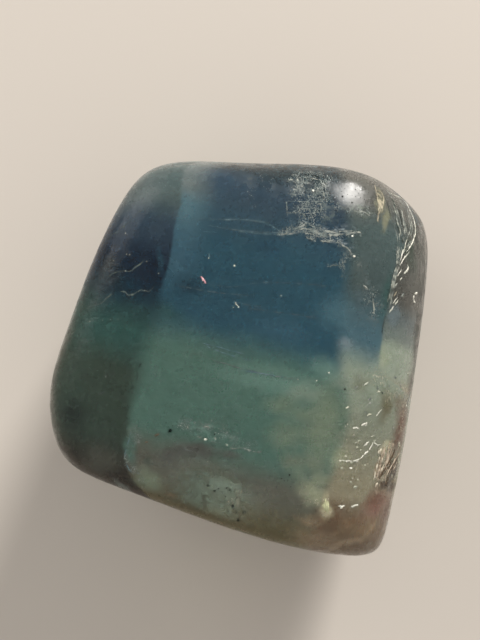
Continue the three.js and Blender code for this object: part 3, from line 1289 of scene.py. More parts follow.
@dataclass
class Strays(Cracks):
    """Hairline cracks and scratches that wander over the whole stone."""

    count: int = 60
    lengths: Spot = (1.0, 4.0)  # the shortest and the longest, mm
    widths: Spot = (0.04, 0.09)  # mm
    lean: float = 0.5  # how far they turn from the X axis, in radians
    facing: Spot = (-1.0, 0.25)  # the lowest and the highest that the skin may face up

    def runs(self, skin: Skin) -> Iterator[tuple[Line, list[tuple[Vector, Vector]]]]:
        """Walks each stray over the skin from a random place.

        Args:
            skin: the stone's skin.

        Yields:
            Each line, with its places and the ways that the skin faces there.
        """
        rng = random.Random(self.seed)
        middle = Vector((0, 0, HALF_HEIGHT))
        made = 0
        while made < self.count:
            aim = Vector([rng.gauss(0, 1) for _ in range(3)]).normalized()
            place, normal = skin.along(middle, aim)
            if not self.facing[0] <= normal.z <= self.facing[1]:
                continue
            made += 1
            side = Vector((0, 0, 1)) if abs(normal.z) < 0.5 else Vector((0, 1, 0))
            way = normal.cross(side).normalized()
            way.rotate(Quaternion(normal, rng.gauss(0, self.lean)))
            line = Line((), rng.uniform(*self.widths), rng.uniform(0.4, 0.9))
            run = [(place, normal)]
            for _ in range(round(rng.uniform(*self.lengths) / self.step)):
                way.rotate(Quaternion(normal, rng.gauss(0, 0.12)))
                place, normal = skin.beside(place + way * self.step)
                run.append((place, normal))
            yield line, run


def carry(mesh: bpy.types.Mesh, name: str, kind: str, values: Sequence) -> None:
    """Gives each point of a mesh a value.

    Args:
        mesh: the mesh, which is changed.
        name: the value's name.
        kind: its data type.
        values: the value for each point.
    """
    made = mesh.attributes.new(name, kind, "POINT")
    key = "vector" if kind == "FLOAT_VECTOR" else "value"
    made.data.foreach_set(key, np.array(values, dtype=np.float32).ravel())


@dataclass(frozen=True)
class Stroke:
    """A path that flakes lie along, how far to each side, and how thick they lie from 0 to 1."""

    path: Path
    reach: float
    share: float = 1.0


def strokes(*rows: tuple) -> tuple[Stroke, ...]:
    """Makes strokes of rows that hold the reach, how thick the flakes lie, and the spots of the path."""
    return tuple(Stroke(tuple(spots), reach, share) for reach, share, *spots in rows)


def flake_tree() -> GrowTree:
    """The tree that strews thin closed flakes over a region of the skin."""
    tree = GrowTree("flakes")
    names = ("Density", "Length", "Slimness", "Thickness", "Turn", "Lean")
    density, length, slimness, thickness, turn, lean = (tree.ask(name) for name in names)
    seed = tree.ask("Seed", "Int")
    material = tree.ask("Material", "Material")
    strewn = tree.node("DistributePointsOnFaces", distribute_method="RANDOM")
    amount = tree.maths("MULTIPLY", density, tree.carried(SHARE))
    tree.fill(strewn, Mesh=tree.entry.outputs["Geometry"], Density=amount, Seed=seed)
    turned = tree.node("FunctionNodeAxisAngleToRotation")
    spin = tree.maths("MULTIPLY_ADD", tree.chance(-1.0, 1.0, seed), lean, turn)
    tree.fill(turned, Axis=(0.0, 0.0, 1.0), Angle=spin)
    facing = tree.node("FunctionNodeAlignRotationToVector", axis="Z")
    tree.fill(facing, Rotation=turned.outputs[0], Vector=strewn.outputs["Normal"])
    flake = tree.node("MeshCylinder", fill_type="NGON")
    tree.fill(flake, Vertices=5, Side_Segments=1, Radius=0.5, Depth=1.0)
    size = tree.maths("MULTIPLY", tree.maths("POWER", tree.chance(0.4, 1.0, seed), 2.0), length)
    parts = tree.node("ShaderNodeCombineXYZ")
    tree.fill(parts, X=size, Y=tree.maths("MULTIPLY", size, slimness), Z=thickness)
    laid = tree.node("InstanceOnPoints")
    tree.fill(laid, Points=strewn.outputs["Points"], Instance=flake.outputs["Mesh"])
    tree.fill(laid, Rotation=facing.outputs[0], Scale=parts.outputs[0])
    tree.end(laid.outputs[0], material)
    return tree


@dataclass
class Flakes:
    """A cloud of flakes of one finish, let into the skin along its strokes."""

    name: str
    glint: Glint
    strokes: tuple[Stroke, ...]
    density: float = 60.0  # flakes for each square mm where they lie thickest
    length: float = 0.3  # mm
    slimness: float = 0.5  # width over length
    turn: float = 0.0  # how far they turn from +X, in radians
    lean: float = 0.5  # how far they stray from that turn, in radians
    thickness: float = 0.03  # mm
    clumps: float = 1.3  # clumps for each mm
    seed: int = 1

    def shares(self, corners: np.ndarray) -> np.ndarray:
        """How thick the flakes lie at each corner of the skin.

        Args:
            corners: the corners' places, in mm.

        Returns:
            A share from 0 to 1 for each.
        """
        best = np.zeros(len(corners))
        for stroke in self.strokes:
            points = np.array(smoothed(stroke.path, 0.3))
            away = np.min(np.linalg.norm(corners[:, None, :2] - points[None], axis=2), axis=1)
            best = np.maximum(best, stroke.share * np.clip(1 - away / stroke.reach, 0, 1))
        rng = np.random.default_rng(self.seed)
        ways = rng.normal(size=(10, 2)) * self.clumps * 2.2
        waves = np.sin(corners[:, :2] @ ways.T + rng.uniform(0, math.tau, 10)).sum(axis=1) / 2.2
        return best * np.clip(0.55 + waves, 0.05, 1.0)

    def build(self, skin: Skin, tree: GrowTree) -> bpy.types.Object:
        """Takes the part of the skin that the strokes reach and grows the flakes on it.

        Args:
            skin: the stone's skin.
            tree: the tree that grows them.

        Returns:
            The finished piece.
        """
        mesh = skin.mesh.copy()
        corners = np.array([vertex.co for vertex in mesh.vertices]) / METRE
        near = corners[:, 2] > HALF_HEIGHT
        spots = np.array([spot for stroke in self.strokes for spot in stroke.path])
        widest = max(stroke.reach for stroke in self.strokes)
        low, high = spots.min(axis=0) - widest, spots.max(axis=0) + widest
        near &= ((corners[:, :2] > low) & (corners[:, :2] < high)).all(axis=1)
        shares = np.zeros(len(corners))
        shares[near] = self.shares(corners[near])
        carry(mesh, SHARE, "FLOAT", shares)
        work = bmesh.new()
        work.from_mesh(mesh)
        work.verts.ensure_lookup_table()
        bare = [vertex for vertex, share in zip(work.verts, shares) if share <= 0]
        bmesh.ops.delete(work, geom=bare, context="VERTS")
        work.to_mesh(mesh)
        work.free()
        mesh.materials.clear()
        values = {
            "Density": self.density / METRE**2, "Length": self.length * METRE, "Slimness": self.slimness,
            "Thickness": self.thickness * METRE, "Turn": self.turn, "Lean": self.lean, "Seed": self.seed,
        }
        return tree.grow(new_piece(self.name, mesh), {**values, "Material": self.glint.value.make()})


@dataclass(frozen=True)
class Speck:
    """A speck: where it lies on the show face, and how wide it is, in mm."""

    at: Spot
    width: float


def specks(*rows: tuple[float, float, float]) -> tuple[Speck, ...]:
    """Makes specks of rows that hold a place and a width."""
    return tuple(Speck((x, y), width) for x, y, width in rows)


def speck_tree() -> GrowTree:
    """The tree that sets a small closed grain on each point."""
    tree = GrowTree("specks")
    seed = tree.ask("Seed", "Int")
    material = tree.ask("Material", "Material")
    grain = tree.fill(tree.node("MeshIcoSphere"), Radius=0.5, Subdivisions=2)
    rough = tree.noise(tree.node("InputPosition").outputs[0], 2.4, 1.0, out="Color")
    push = tree.vector("SCALE", tree.vector("SUBTRACT", rough, (0.5, 0.5, 0.5)), 0.9)
    lumpy = tree.fill(tree.node("SetPosition"), Geometry=grain.outputs[0], Offset=push)
    turn = tree.node("ShaderNodeCombineXYZ")
    tree.fill(turn, X=tree.chance(-3.0, 3.0, seed), Y=tree.chance(-2.0, 2.0, seed), Z=0.0)
    spin = tree.fill(tree.node("FunctionNodeEulerToRotation"), Euler=turn.outputs[0])
    laid = tree.node("InstanceOnPoints")
    points = tree.fill(tree.node("MeshToPoints"), Mesh=tree.entry.outputs["Geometry"]).outputs[0]
    tree.fill(laid, Points=points, Instance=lumpy.outputs[0], Rotation=spin.outputs[0])
    tree.fill(laid, Scale=tree.carried(WIDTH))
    tree.end(laid.outputs[0], material)
    return tree


@dataclass
class Specks:
    """A set of specks of one finish, sunk into the skin."""

    name: str
    glint: Glint
    specks: tuple[Speck, ...]
    sunk: float = 0.25  # share of its width that a speck's middle lies below the skin
    seed: int = 1

    def build(self, skin: Skin, tree: GrowTree) -> bpy.types.Object:
        """Sets the points in the skin and grows the grains on them.

        Args:
            skin: the stone's skin.
            tree: the tree that grows them.

        Returns:
            The finished piece.
        """
        found = [skin.below(*speck.at) for speck in self.specks]
        points = [
            (place - normal * self.sunk * speck.width) * METRE
            for speck, (place, normal) in zip(self.specks, found)
        ]
        mesh = bpy.data.meshes.new(self.name)
        mesh.from_pydata(points, [], [])
        carry(mesh, WIDTH, "FLOAT", [speck.width * METRE for speck in self.specks])
        values = {"Seed": self.seed, "Material": self.glint.value.make()}
        return tree.grow(new_piece(self.name, mesh), values)


OUTER_RIDGE = (
    (13.0, 14.9), (13.8, 14.9), (14.7, 14.8), (15.6, 14.3), (15.8, 13.2), (15.9, 12.2), (15.8, 11.3),
    (15.4, 10.5),
    (14.8, 9.8), (14.4, 9.2), (14.2, 8.5), (13.9, 7.5), (13.7, 6.4), (13.4, 5.4),
)
MIDDLE_RIDGE = (
    (13.2, 14.6), (13.5, 14.3), (13.9, 13.8), (14.3, 13.2), (14.4, 12.5), (14.5, 11.8), (14.4, 11.0),
    (14.3, 10.3),
    (14.2, 9.6), (14.1, 9.0), (14.0, 8.3), (13.7, 7.3), (13.5, 6.3), (13.2, 5.2),
)
INNER_RIDGE = (
    (13.0, 14.2), (13.1, 13.8), (13.3, 13.2), (13.5, 12.6), (13.7, 12.0), (13.9, 11.3), (14.0, 10.6),
    (14.0, 10.0),
    (13.9, 9.4), (13.9, 8.8), (13.8, 8.1), (13.5, 7.1), (13.3, 6.1), (13.0, 5.0),
)
FAN_LEFT = ((12.8, -8.1), (12.5, -9.4), (12.3, -10.6), (12.0, -11.6))
FAN_RIGHT = ((14.7, -8.2), (14.5, -9.2), (14.1, -10.4), (13.5, -11.5))

# the bright lines of the ridge's crack bundle, drawn as painted glints
RIDGE_CRACKS = lines(
    (0.13, 0.3, (13.38, 15.16), (14.15, 14.98), (14.9, 14.85), (15.43, 14.42), (15.6, 13.78),
        (15.84, 13.2), (15.96, 12.51), (15.99, 11.82), (15.81, 11.13), (15.56, 10.64), (15.22, 10.06),
        (14.9, 9.67)),
    (0.15, 0.1, (15.89, 12.79), (15.98, 12.21), (15.97, 11.63), (15.75, 10.94), (15.44, 10.35),
        (15.11, 9.87)),
    (0.14, 0.25, (15.21, 9.69), (14.89, 9.31), (14.58, 8.98), (14.38, 8.65), (14.23, 8.33)),
    (0.11, 0.4, (15.03, 10.88), (14.81, 10.4), (14.69, 9.94), (14.49, 9.56), (14.38, 9.1), (14.23, 8.74)),
    (0.11, 0.4, (14.8, 10.13), (14.54, 9.75), (14.39, 9.38)),
    (0.14, 0.2, (14.43, 8.02), (14.18, 7.74), (13.94, 7.37)),
    (0.26, 0.0, (15.15, 8.27), (14.94, 7.94), (14.66, 7.61)),
    (0.15, 0.1, (14.43, 7.29), (14.23, 7.01)),
    (0.15, 0.1, (14.1, 5.29), (13.9, 5.02), (13.76, 4.79)),
    (0.15, 0.2, (13.64, 4.7), (13.42, 4.38), (13.2, 4.04)),
    (0.24, 0.0, (16.18, 5.97), (15.96, 5.91), (15.8, 5.78)),
    (0.28, 0.0, (15.76, 5.72), (15.65, 5.53), (15.67, 5.33)),
    (0.18, 0.1, (15.67, 5.35), (15.77, 5.15), (15.92, 4.99)),
    (0.08, 0.3, (14.05, 5.56), (13.52, 4.88)),
)
RIDGE_HAIRS = lines(
    (0.17, 0.3, (13.12, 15.44), (13.48, 15.07), (13.71, 14.48)),
    (0.14, 0.3, (13.62, 15.2), (14.25, 14.89), (14.71, 14.33), (14.94, 13.75)),
    (0.19, 0.27, (13.75, 13.99), (13.91, 13.33), (14.02, 12.68), (14.14, 12.03), (14.33, 11.48),
        (14.36, 10.93)),
    (0.12, 0.36, (14.05, 13.83), (14.15, 13.06), (14.21, 12.41)),
    (0.2, 0.3, (14.32, 14.16), (14.57, 13.59), (14.62, 13.01), (14.68, 12.35), (14.8, 11.79),
        (14.73, 11.23)),
    (0.18, 0.3, (15.05, 13.66), (15.31, 13.1), (15.35, 12.51), (15.42, 12.04), (15.27, 11.46),
        (14.92, 10.87)),
    (0.14, 0.36, (14.91, 14.16), (15.28, 13.6), (15.48, 13.03), (15.57, 12.35), (15.56, 11.67),
        (15.36, 11.09)),
    (0.17, 0.36, (14.52, 13.1), (14.74, 12.45), (14.91, 11.8), (14.99, 11.25)),
    (0.14, 0.3, (14.71, 15.03), (15.21, 14.59), (15.53, 13.99), (15.76, 13.39), (15.87, 12.69)),
    (0.14, 0.24, (15.09, 8.59), (14.89, 8.26)),
    (0.2, 0.3, (13.99, 6.83), (13.8, 6.55), (13.7, 6.28)),
    (0.29, 0.18, (14.7, 5.93), (14.54, 5.7), (14.4, 5.52)),
    (0.17, 0.3, (13.51, 5.24), (13.42, 4.92)),
    (0.17, 0.36, (14.23, 8.33), (13.99, 7.91), (13.84, 7.46), (13.7, 6.91), (13.6, 6.37)),
    (0.14, 0.42, (13.6, 6.19), (13.46, 5.55), (13.32, 4.92), (13.18, 4.29)),
    (0.2, 0.24, (11.64, 5.36), (11.73, 4.82), (11.78, 4.37), (11.76, 3.92)),
    (0.23, 0.3, (10.72, 6.62), (10.99, 6.39), (11.27, 6.17)),
)
RIDGE_THREADS = (
    *family(OUTER_RIDGE, MIDDLE_RIDGE, 7, (0.05, 0.1), 0.8, 21, 0.2),
    *family(MIDDLE_RIDGE, INNER_RIDGE, 7, (0.05, 0.12), 0.8, 22, 0.2),
)
STRAW_CRACKS = lines(
    (0.17, 0.2, (12.04, 15.84), (12.08, 15.43), (12.18, 14.94), (12.2, 14.46), (12.23, 13.98)),
    (0.15, 0.35, (12.21, 14.27), (12.3, 13.71), (12.26, 13.15), (12.17, 12.59), (12.25, 12.14)),
    (0.17, 0.3, (12.2, 15.13), (12.5, 15.21), (12.75, 14.78), (12.78, 14.2), (12.66, 13.63),
        (12.54, 13.07)),
    (0.2, 0.3, (12.17, 14.94), (12.42, 14.81), (12.64, 14.48)),
    (0.2, 0.5, (12.49, 14.47), (12.51, 13.9), (12.42, 13.34), (12.31, 12.87)),
    (0.15, 0.45, (12.34, 14.66), (12.39, 13.99), (12.36, 13.43)),
    (0.13, 0.2, (13.99, 6.1), (13.8, 5.83), (13.61, 5.51)),
    (0.12, 0.1, (13.7, 6.33), (13.56, 6.05)),
)
# painted glints on the crests of the ripples
LOW_GLINTS = lines(
    (0.28, 0.0, (10.66, -6.09), (10.95, -6.0), (11.28, -5.89)),
    (0.24, 0.0, (11.47, -5.73), (11.64, -5.64)),
    (0.19, 0.1, (9.88, -6.32), (10.14, -6.27), (10.48, -6.34)),
    (0.21, 0.1, (10.93, -8.05), (11.12, -7.84), (11.31, -7.72), (11.54, -7.68)),
    (0.19, 0.1, (11.89, -7.69), (11.7, -8.0), (11.56, -8.23), (11.42, -8.4)),
    (0.19, 0.1, (11.42, -8.4), (11.23, -8.62), (10.99, -8.82)),
    (0.13, 0.3, (10.99, -8.82), (10.8, -9.01), (10.56, -9.18)),
    (0.17, 0.1, (11.89, -7.64), (12.07, -7.86), (12.24, -8.0), (12.59, -7.97)),
    (0.25, 0.0, (9.9, -9.35), (10.28, -9.31), (10.61, -9.19)),
    (0.11, 0.3, (8.59, -9.2), (9.06, -9.25), (9.53, -9.32), (9.9, -9.35)),
    (0.16, 0.0, (9.58, -9.91), (9.91, -9.95)),
    (0.21, 0.0, (8.57, -13.32), (8.75, -13.42), (8.99, -13.43), (9.22, -13.41)),
    (0.27, 0.0, (9.74, -13.54), (9.98, -13.51), (10.22, -13.45), (10.51, -13.43)),
    (0.22, 0.0, (12.56, -2.3), (12.66, -2.43)),
    (0.22, 0.0, (12.72, -2.52), (12.78, -2.65)),
    (0.2, 0.1, (10.87, -2.5), (11.06, -2.31), (11.3, -2.13)),
    (0.17, 0.1, (12.05, -5.33), (12.3, -5.01), (12.62, -4.65)),
    (0.28, 0.0, (15.17, -4.43), (15.21, -4.7)),
    (0.18, 0.0, (9.6, -7.72), (9.77, -7.72)),
    (0.19, 0.0, (12.82, -8.01), (13.01, -7.95)),
    (0.12, 0.0, (10.02, -7.66), (10.35, -7.61)),
)
# pale painted glints on the ripples of the lower right
LOW_PEARLS = lines(
    (0.3, 0.0, (12.97, -1.94), (13.03, -2.1)),
    (0.24, 0.1, (11.21, -5.19), (11.44, -5.12), (11.64, -5.05)),
    (0.2, 0.1, (12.1, -3.14), (12.25, -3.04), (12.41, -3.13)),
    (0.19, 0.14, (10.33, -7.62), (10.63, -7.44)),
    (0.22, 0.07, (10.17, -8.07), (10.45, -8.06)),
    (0.26, 0.0, (9.61, -8.1), (9.75, -8.11)),
    (0.23, 0.0, (10.65, -8.22), (10.74, -8.43)),
    (0.19, 0.21, (9.62, -9.48), (10.0, -9.45)),
    (0.22, 0.14, (8.78, -9.88), (9.06, -9.88)),
    (0.23, 0.0, (11.02, -9.77), (11.18, -9.78)),
    (0.29, 0.0, (9.97, -11.77), (10.16, -11.71), (10.4, -11.74)),
    (0.22, 0.14, (9.63, -11.25), (9.87, -11.25)),
    (0.19, 0.21, (9.15, -8.83), (9.38, -8.86)),
    (0.19, 0.21, (10.3, -11.07), (10.54, -11.07)),
    (0.25, 0.21, (14.54, -7.94), (14.51, -8.52)),
    (0.28, 0.0, (15.19, -1.51), (15.32, -1.66)),
    (0.24, 0.0, (14.5, -3.14), (14.55, -3.24)),
    (0.22, 0.1, (14.69, -2.84), (14.74, -3.01)),
    (0.23, 0.14, (11.88, -7.57), (12.13, -7.51)),
    (0.12, 0.35, (11.58, -7.16), (11.97, -7.09)),
    (0.22, 0.35, (9.2, -4.43), (9.61, -4.44)),
    (0.23, 0.0, (13.84, -10.97), (13.93, -11.2)),
    (0.2, 0.0, (14.66, -11.32), (14.73, -11.58)),
    (0.19, 0.28, (14.51, -9.45), (14.72, -10.0)),
)
LOW_HAIRS = lines(
    (0.2, 0.2, (9.97, -2.76), (10.19, -2.62), (10.41, -2.5)),
    (0.16, 0.2, (11.95, -1.9), (11.99, -2.07)),
    (0.16, 0.2, (12.01, -2.27), (12.11, -2.4)),
    (0.16, 0.2, (12.07, -2.58), (12.15, -2.73), (12.29, -2.86)),
    (0.16, 0.2, (12.92, -2.75), (13.02, -2.97)),
    (0.26, 0.2, (13.79, -1.72), (14.0, -1.91)),
    (0.16, 0.2, (14.33, -2.35), (14.46, -2.58), (14.54, -2.81)),
    (0.18, 0.3, (15.0, -3.56), (14.91, -3.74), (14.88, -3.96)),
    (0.18, 0.3, (11.23, -3.91), (11.35, -3.71), (11.62, -3.64)),
    (0.16, 0.3, (11.3, -4.04), (11.6, -4.08)),
    (0.18, 0.3, (11.16, -5.44), (11.42, -5.36)),
    (0.14, 0.3, (10.92, -4.79), (11.17, -5.02)),
    (0.14, 0.3, (11.82, -5.26), (11.96, -5.42)),
    (0.16, 0.3, (12.6, -6.73), (12.79, -6.8)),
    (0.2, 0.3, (13.75, -6.46), (13.93, -6.61)),
    (0.14, 0.3, (12.33, -2.09), (12.47, -2.21)),
    (0.14, 0.3, (13.25, -2.43), (13.35, -2.65)),
    (0.14, 0.3, (13.39, -3.54), (13.28, -3.77)),
    (0.14, 0.3, (14.11, -3.39), (14.05, -3.76)),
)
FAN_EDGE = lines(
    (0.36, 0.0, (12.7, -8.31), (12.6, -8.63), (12.58, -9.0)),
    (0.3, 0.05, (12.57, -9.05), (12.48, -9.37), (12.39, -9.74)),
    (0.28, 0.1, (12.39, -9.74), (12.28, -10.1), (12.21, -10.42)),
    (0.22, 0.2, (12.19, -10.47), (12.07, -10.83), (11.96, -11.29)),
    (0.36, 0.0, (12.81, -7.99), (12.97, -7.93)),
    (0.3, 0.1, (12.87, -9.22), (12.79, -9.49), (12.72, -9.77)),
    (0.24, 0.2, (13.07, -9.81), (12.91, -10.17), (12.8, -10.53)),
    (0.3, 0.1, (14.61, -8.24), (14.66, -8.54)),
    (0.3, 0.1, (14.13, -9.43), (14.02, -9.61)),
    (0.22, 0.1, (13.89, -11.02), (13.95, -11.28)),
    (0.26, 0.1, (12.47, -11.49), (12.27, -11.7), (12.11, -11.92)),
    (0.26, 0.1, (12.7, -11.56), (12.72, -11.75)),
)
FAN_CRACKS = lines(
    (0.34, 0.15, (13.05, -8.2), (13.01, -8.76), (12.89, -9.32)),
    (0.34, 0.15, (13.4, -8.13), (13.38, -8.7), (13.28, -9.26), (13.11, -9.81)),
    (0.34, 0.15, (13.73, -8.36), (13.64, -8.83), (13.49, -9.28), (13.26, -9.83), (13.0, -10.27)),
    (0.3, 0.2, (12.78, -8.55), (12.74, -9.02), (12.67, -9.58), (12.54, -10.13)),
    (0.34, 0.2, (12.7, -9.77), (12.59, -10.23), (12.43, -10.68), (12.24, -11.13)),
    (0.3, 0.2, (12.85, -10.07), (12.71, -10.43), (12.52, -10.88)),
    (0.26, 0.2, (13.81, -7.89), (13.9, -8.28), (13.8, -8.56)),
    (0.22, 0.2, (14.71, -8.9), (14.45, -9.33), (14.16, -9.63), (13.87, -10.06), (13.56, -10.54),
        (13.29, -10.98)),
    (0.2, 0.4, (13.29, -10.98), (13.15, -11.34), (13.19, -11.72)),
    (0.16, 0.4, (14.41, -9.91), (14.22, -10.26), (13.94, -10.7)),
)
FAN_THREADS = family(FAN_LEFT, FAN_RIGHT, 9, (0.05, 0.1), 0.7, 24, 0.05)
FAN_GAPS = lines(
    (0.34, 0.2, (14.13, -8.6), (13.93, -9.05), (13.69, -9.46), (13.4, -9.88), (13.12, -10.25)),
    (0.36, 0.2, (13.26, -10.08), (12.94, -10.55), (12.62, -10.98), (12.41, -11.34)),
    (0.2, 0.3, (13.85, -9.62), (13.54, -10.11), (13.17, -10.58), (12.93, -10.93)),
    (0.2, 0.3, (14.46, -9.49), (14.19, -9.87), (13.85, -10.29), (13.54, -10.78)),
    (0.3, 0.3, (13.51, -11.01), (13.37, -11.47), (13.21, -11.92)),
    (0.12, 0.4, (12.94, -9.7), (12.81, -10.06), (12.67, -10.33)),
)
FROST_SMEARS = lines(
    (0.13, 0.6, (3.31, 11.02), (3.63, 11.11), (4.08, 11.29)),
    (0.13, 0.5, (4.26, 11.47), (4.88, 11.74), (5.33, 11.87), (5.78, 11.92)),
    (0.13, 0.5, (4.88, 11.51), (5.51, 11.65), (6.14, 11.55)),
    (0.13, 0.5, (5.51, 11.2), (6.05, 11.19), (6.41, 11.01)),
    (0.13, 0.5, (5.69, 10.83), (6.05, 10.74), (6.32, 10.56)),
    (0.13, 0.5, (6.32, 11.46), (6.68, 11.19), (7.03, 11.15), (7.39, 11.37)),
    (0.13, 0.6, (6.41, 11.1), (6.94, 10.88), (7.57, 10.88)),
    (0.13, 0.35, (7.3, 11.42), (7.75, 11.4), (8.2, 11.26), (8.65, 11.16)),
    (0.16, 0.6, (7.48, 11.1), (8.11, 11.01), (8.74, 11.14), (9.19, 11.15)),
    (0.13, 0.4, (8.56, 11.37), (8.92, 11.39), (9.28, 11.32)),
    (0.14, 0.4, (9.28, 11.1), (9.82, 11.26), (10.28, 11.38)),
    (0.13, 0.45, (6.85, 10.65), (7.3, 10.47), (7.84, 10.54), (8.29, 10.45)),
    (0.13, 0.5, (8.29, 10.45), (8.74, 10.25), (9.27, 9.98), (9.63, 9.62)),
    (0.12, 0.4, (7.21, 10.47), (7.12, 10.2)),
    (0.1, 0.7, (8.91, 9.04), (8.96, 8.5), (9.09, 7.96)),
    (0.12, 0.7, (9.63, 9.58), (9.81, 9.04)),
    (0.1, 0.3, (4.25, 10.3), (4.52, 10.48)),
    (0.12, 0.1, (4.12, 16.12), (4.34, 16.14), (4.61, 16.1)),
    (0.15, 0.1, (4.93, 16.26), (5.02, 15.97)),
    (0.12, 0.4, (4.88, 15.78), (4.91, 15.21)),
    (0.08, 0.6, (7.32, 15.77), (7.44, 15.21), (7.6, 14.65), (7.69, 14.19)),
    (0.08, 0.6, (7.08, 15.58), (7.25, 14.93), (7.33, 14.37)),
    (0.17, 0.2, (5.97, 13.46), (6.01, 13.0)),
    (0.08, 0.6, (5.57, 16.36), (6.11, 16.31), (7.01, 16.06)),
    (0.13, 0.4, (9.84, 13.42), (10.3, 13.11), (10.75, 13.2), (11.12, 13.03), (11.48, 12.82)),
    (0.12, 0.4, (11.04, 13.44), (11.58, 12.99)),
    (0.07, 0.6, (3.91, 14.11), (3.95, 13.46), (3.99, 12.65)),
    (0.12, 0.4, (5.43, 13.09), (5.61, 12.64)),
    (0.16, 0.6, (6.87, 14.0), (7.05, 13.45), (6.86, 13.0)),
)
FROST_GLINTS = lines(
    (0.14, 0.0, (10.23, 11.38), (10.46, 11.32), (10.64, 11.2)),
    (0.22, 0.0, (9.68, 10.99), (9.96, 10.96)),
    (0.24, 0.0, (9.9, 9.13), (10.13, 9.13)),
    (0.18, 0.0, (6.0, 10.61), (6.05, 10.45)),
    (0.17, 0.0, (6.31, 10.32), (6.49, 10.33)),
    (0.15, 0.0, (5.46, 10.21), (5.6, 10.21)),
    (0.15, 0.1, (5.69, 11.29), (5.91, 11.15)),
    (0.12, 0.1, (7.48, 11.44), (7.75, 11.35)),
    (0.12, 0.2, (10.15, 12.15), (10.33, 12.15)),
)
FROST_THREADS = (
    *family(((3.4, 11.3), (4.8, 11.7), (5.9, 12.2), (7.2, 11.6), (8.8, 11.6), (10.6, 11.4)),
            ((3.6, 11.0), (4.8, 11.1), (6.0, 11.3), (7.2, 10.9), (8.8, 11.0),
            (10.6, 11.1)), 9, (0.05, 0.1), 0.8,
            26, 0.1),
    *family(((3.9, 16.4), (5.6, 16.6), (7.4, 16.2)), ((3.8, 12.8), (5.6, 12.6), (7.2, 12.9)), 7, (0.04, 0.07),
            0.9, 28, 0.1),
)
ARCH_GLINTS = lines(
    (0.15, 0.0, (-3.5, -7.18), (-3.2, -7.36)),
    (0.13, 0.0, (-2.32, -7.62), (-2.14, -7.57)),
    (0.15, 0.0, (-1.58, -7.7), (-1.36, -7.87)),
)
ARCH_HAIRS = lines(
    (0.14, 0.1, (-2.62, -7.08), (-2.39, -7.32)),
    (0.14, 0.1, (-2.21, -7.17), (-2.03, -7.24)),
    (0.1, 0.5, (-1.22, -8.01), (-0.86, -8.1), (-0.46, -8.06), (0.03, -8.03)),
    (0.13, 0.4, (0.03, -8.03), (0.3, -8.18), (0.66, -8.27), (0.84, -8.32)),
    (0.09, 0.6, (0.84, -8.32), (1.29, -8.41), (1.74, -8.35)),
    (0.17, 0.4, (-5.09, -6.12), (-4.87, -6.42)),
    (0.12, 0.4, (-4.55, -6.61), (-4.37, -6.56)),
    (0.17, 0.5, (-3.61, -6.11), (-3.29, -6.18), (-3.02, -6.14)),
    (0.19, 0.2, (-1.99, -6.56), (-1.85, -6.49)),
    (0.09, 0.3, (-5.36, -8.13), (-5.0, -8.26), (-4.46, -8.4)),
    (0.09, 0.5, (-3.02, -7.42), (-2.75, -7.49), (-2.3, -7.66)),
    (0.09, 0.5, (-4.19, -7.04), (-3.65, -7.22)),
    (0.1, 0.0, (-3.24, -9.42), (-3.2, -9.6)),
)
LEFT_CRACKS = lines(
    (0.12, 0.4, (-12.55, 7.49), (-12.36, 7.3), (-12.08, 7.48), (-11.8, 7.66), (-11.42, 7.8),
        (-11.05, 7.84), (-10.77, 7.89)),
    (0.13, 0.35, (-10.77, 7.89), (-10.49, 7.83), (-10.22, 7.83), (-10.03, 7.97), (-9.85, 8.19),
        (-9.58, 8.37), (-9.3, 8.55), (-9.03, 8.78), (-8.94, 9.0)),
    (0.14, 0.3, (-11.13, 6.02), (-10.85, 6.06), (-10.67, 5.93), (-10.48, 5.7), (-10.3, 5.65),
        (-10.12, 5.74), (-9.84, 5.83), (-9.57, 6.01)),
    (0.13, 0.4, (-9.57, 6.01), (-9.29, 6.15), (-9.02, 6.1), (-8.74, 6.06), (-8.47, 6.01), (-8.2, 6.28),
        (-8.06, 6.46)),
    (0.13, 0.5, (-14.33, 4.44), (-14.04, 4.66), (-13.56, 4.75), (-13.09, 4.89), (-12.71, 5.11),
        (-12.43, 5.39), (-12.15, 5.66), (-11.87, 5.84)),
    (0.08, 0.6, (-12.75, 10.56), (-12.35, 10.91), (-11.97, 11.27), (-11.58, 11.44), (-11.39, 11.61),
        (-11.11, 11.79), (-10.83, 12.06), (-10.45, 12.32), (-10.17, 12.59)),
    (0.07, 0.6, (-11.95, 10.89), (-11.57, 11.16), (-11.2, 11.61)),
    (0.07, 0.6, (-10.17, 12.59), (-9.71, 13.14), (-9.25, 13.4), (-8.79, 13.58)),
    (0.07, 0.6, (-12.65, 7.77), (-12.74, 7.45), (-12.64, 7.12)),
    (0.08, 0.6, (-13.22, -3.42), (-12.85, -3.19), (-12.48, -3.05)),
    (0.12, 0.6, (-12.53, -1.51), (-12.39, -1.88)),
)
VEIL_EDGE = lines(
    (0.1, 0.7, (-10.15, -6.64), (-10.3, -7.28), (-10.45, -7.91)),
    (0.14, 0.6, (-10.59, -8.1), (-10.69, -8.64), (-10.67, -9.19)),
    (0.12, 0.7, (-10.64, -9.28), (-10.46, -9.82), (-10.1, -10.37)),
)
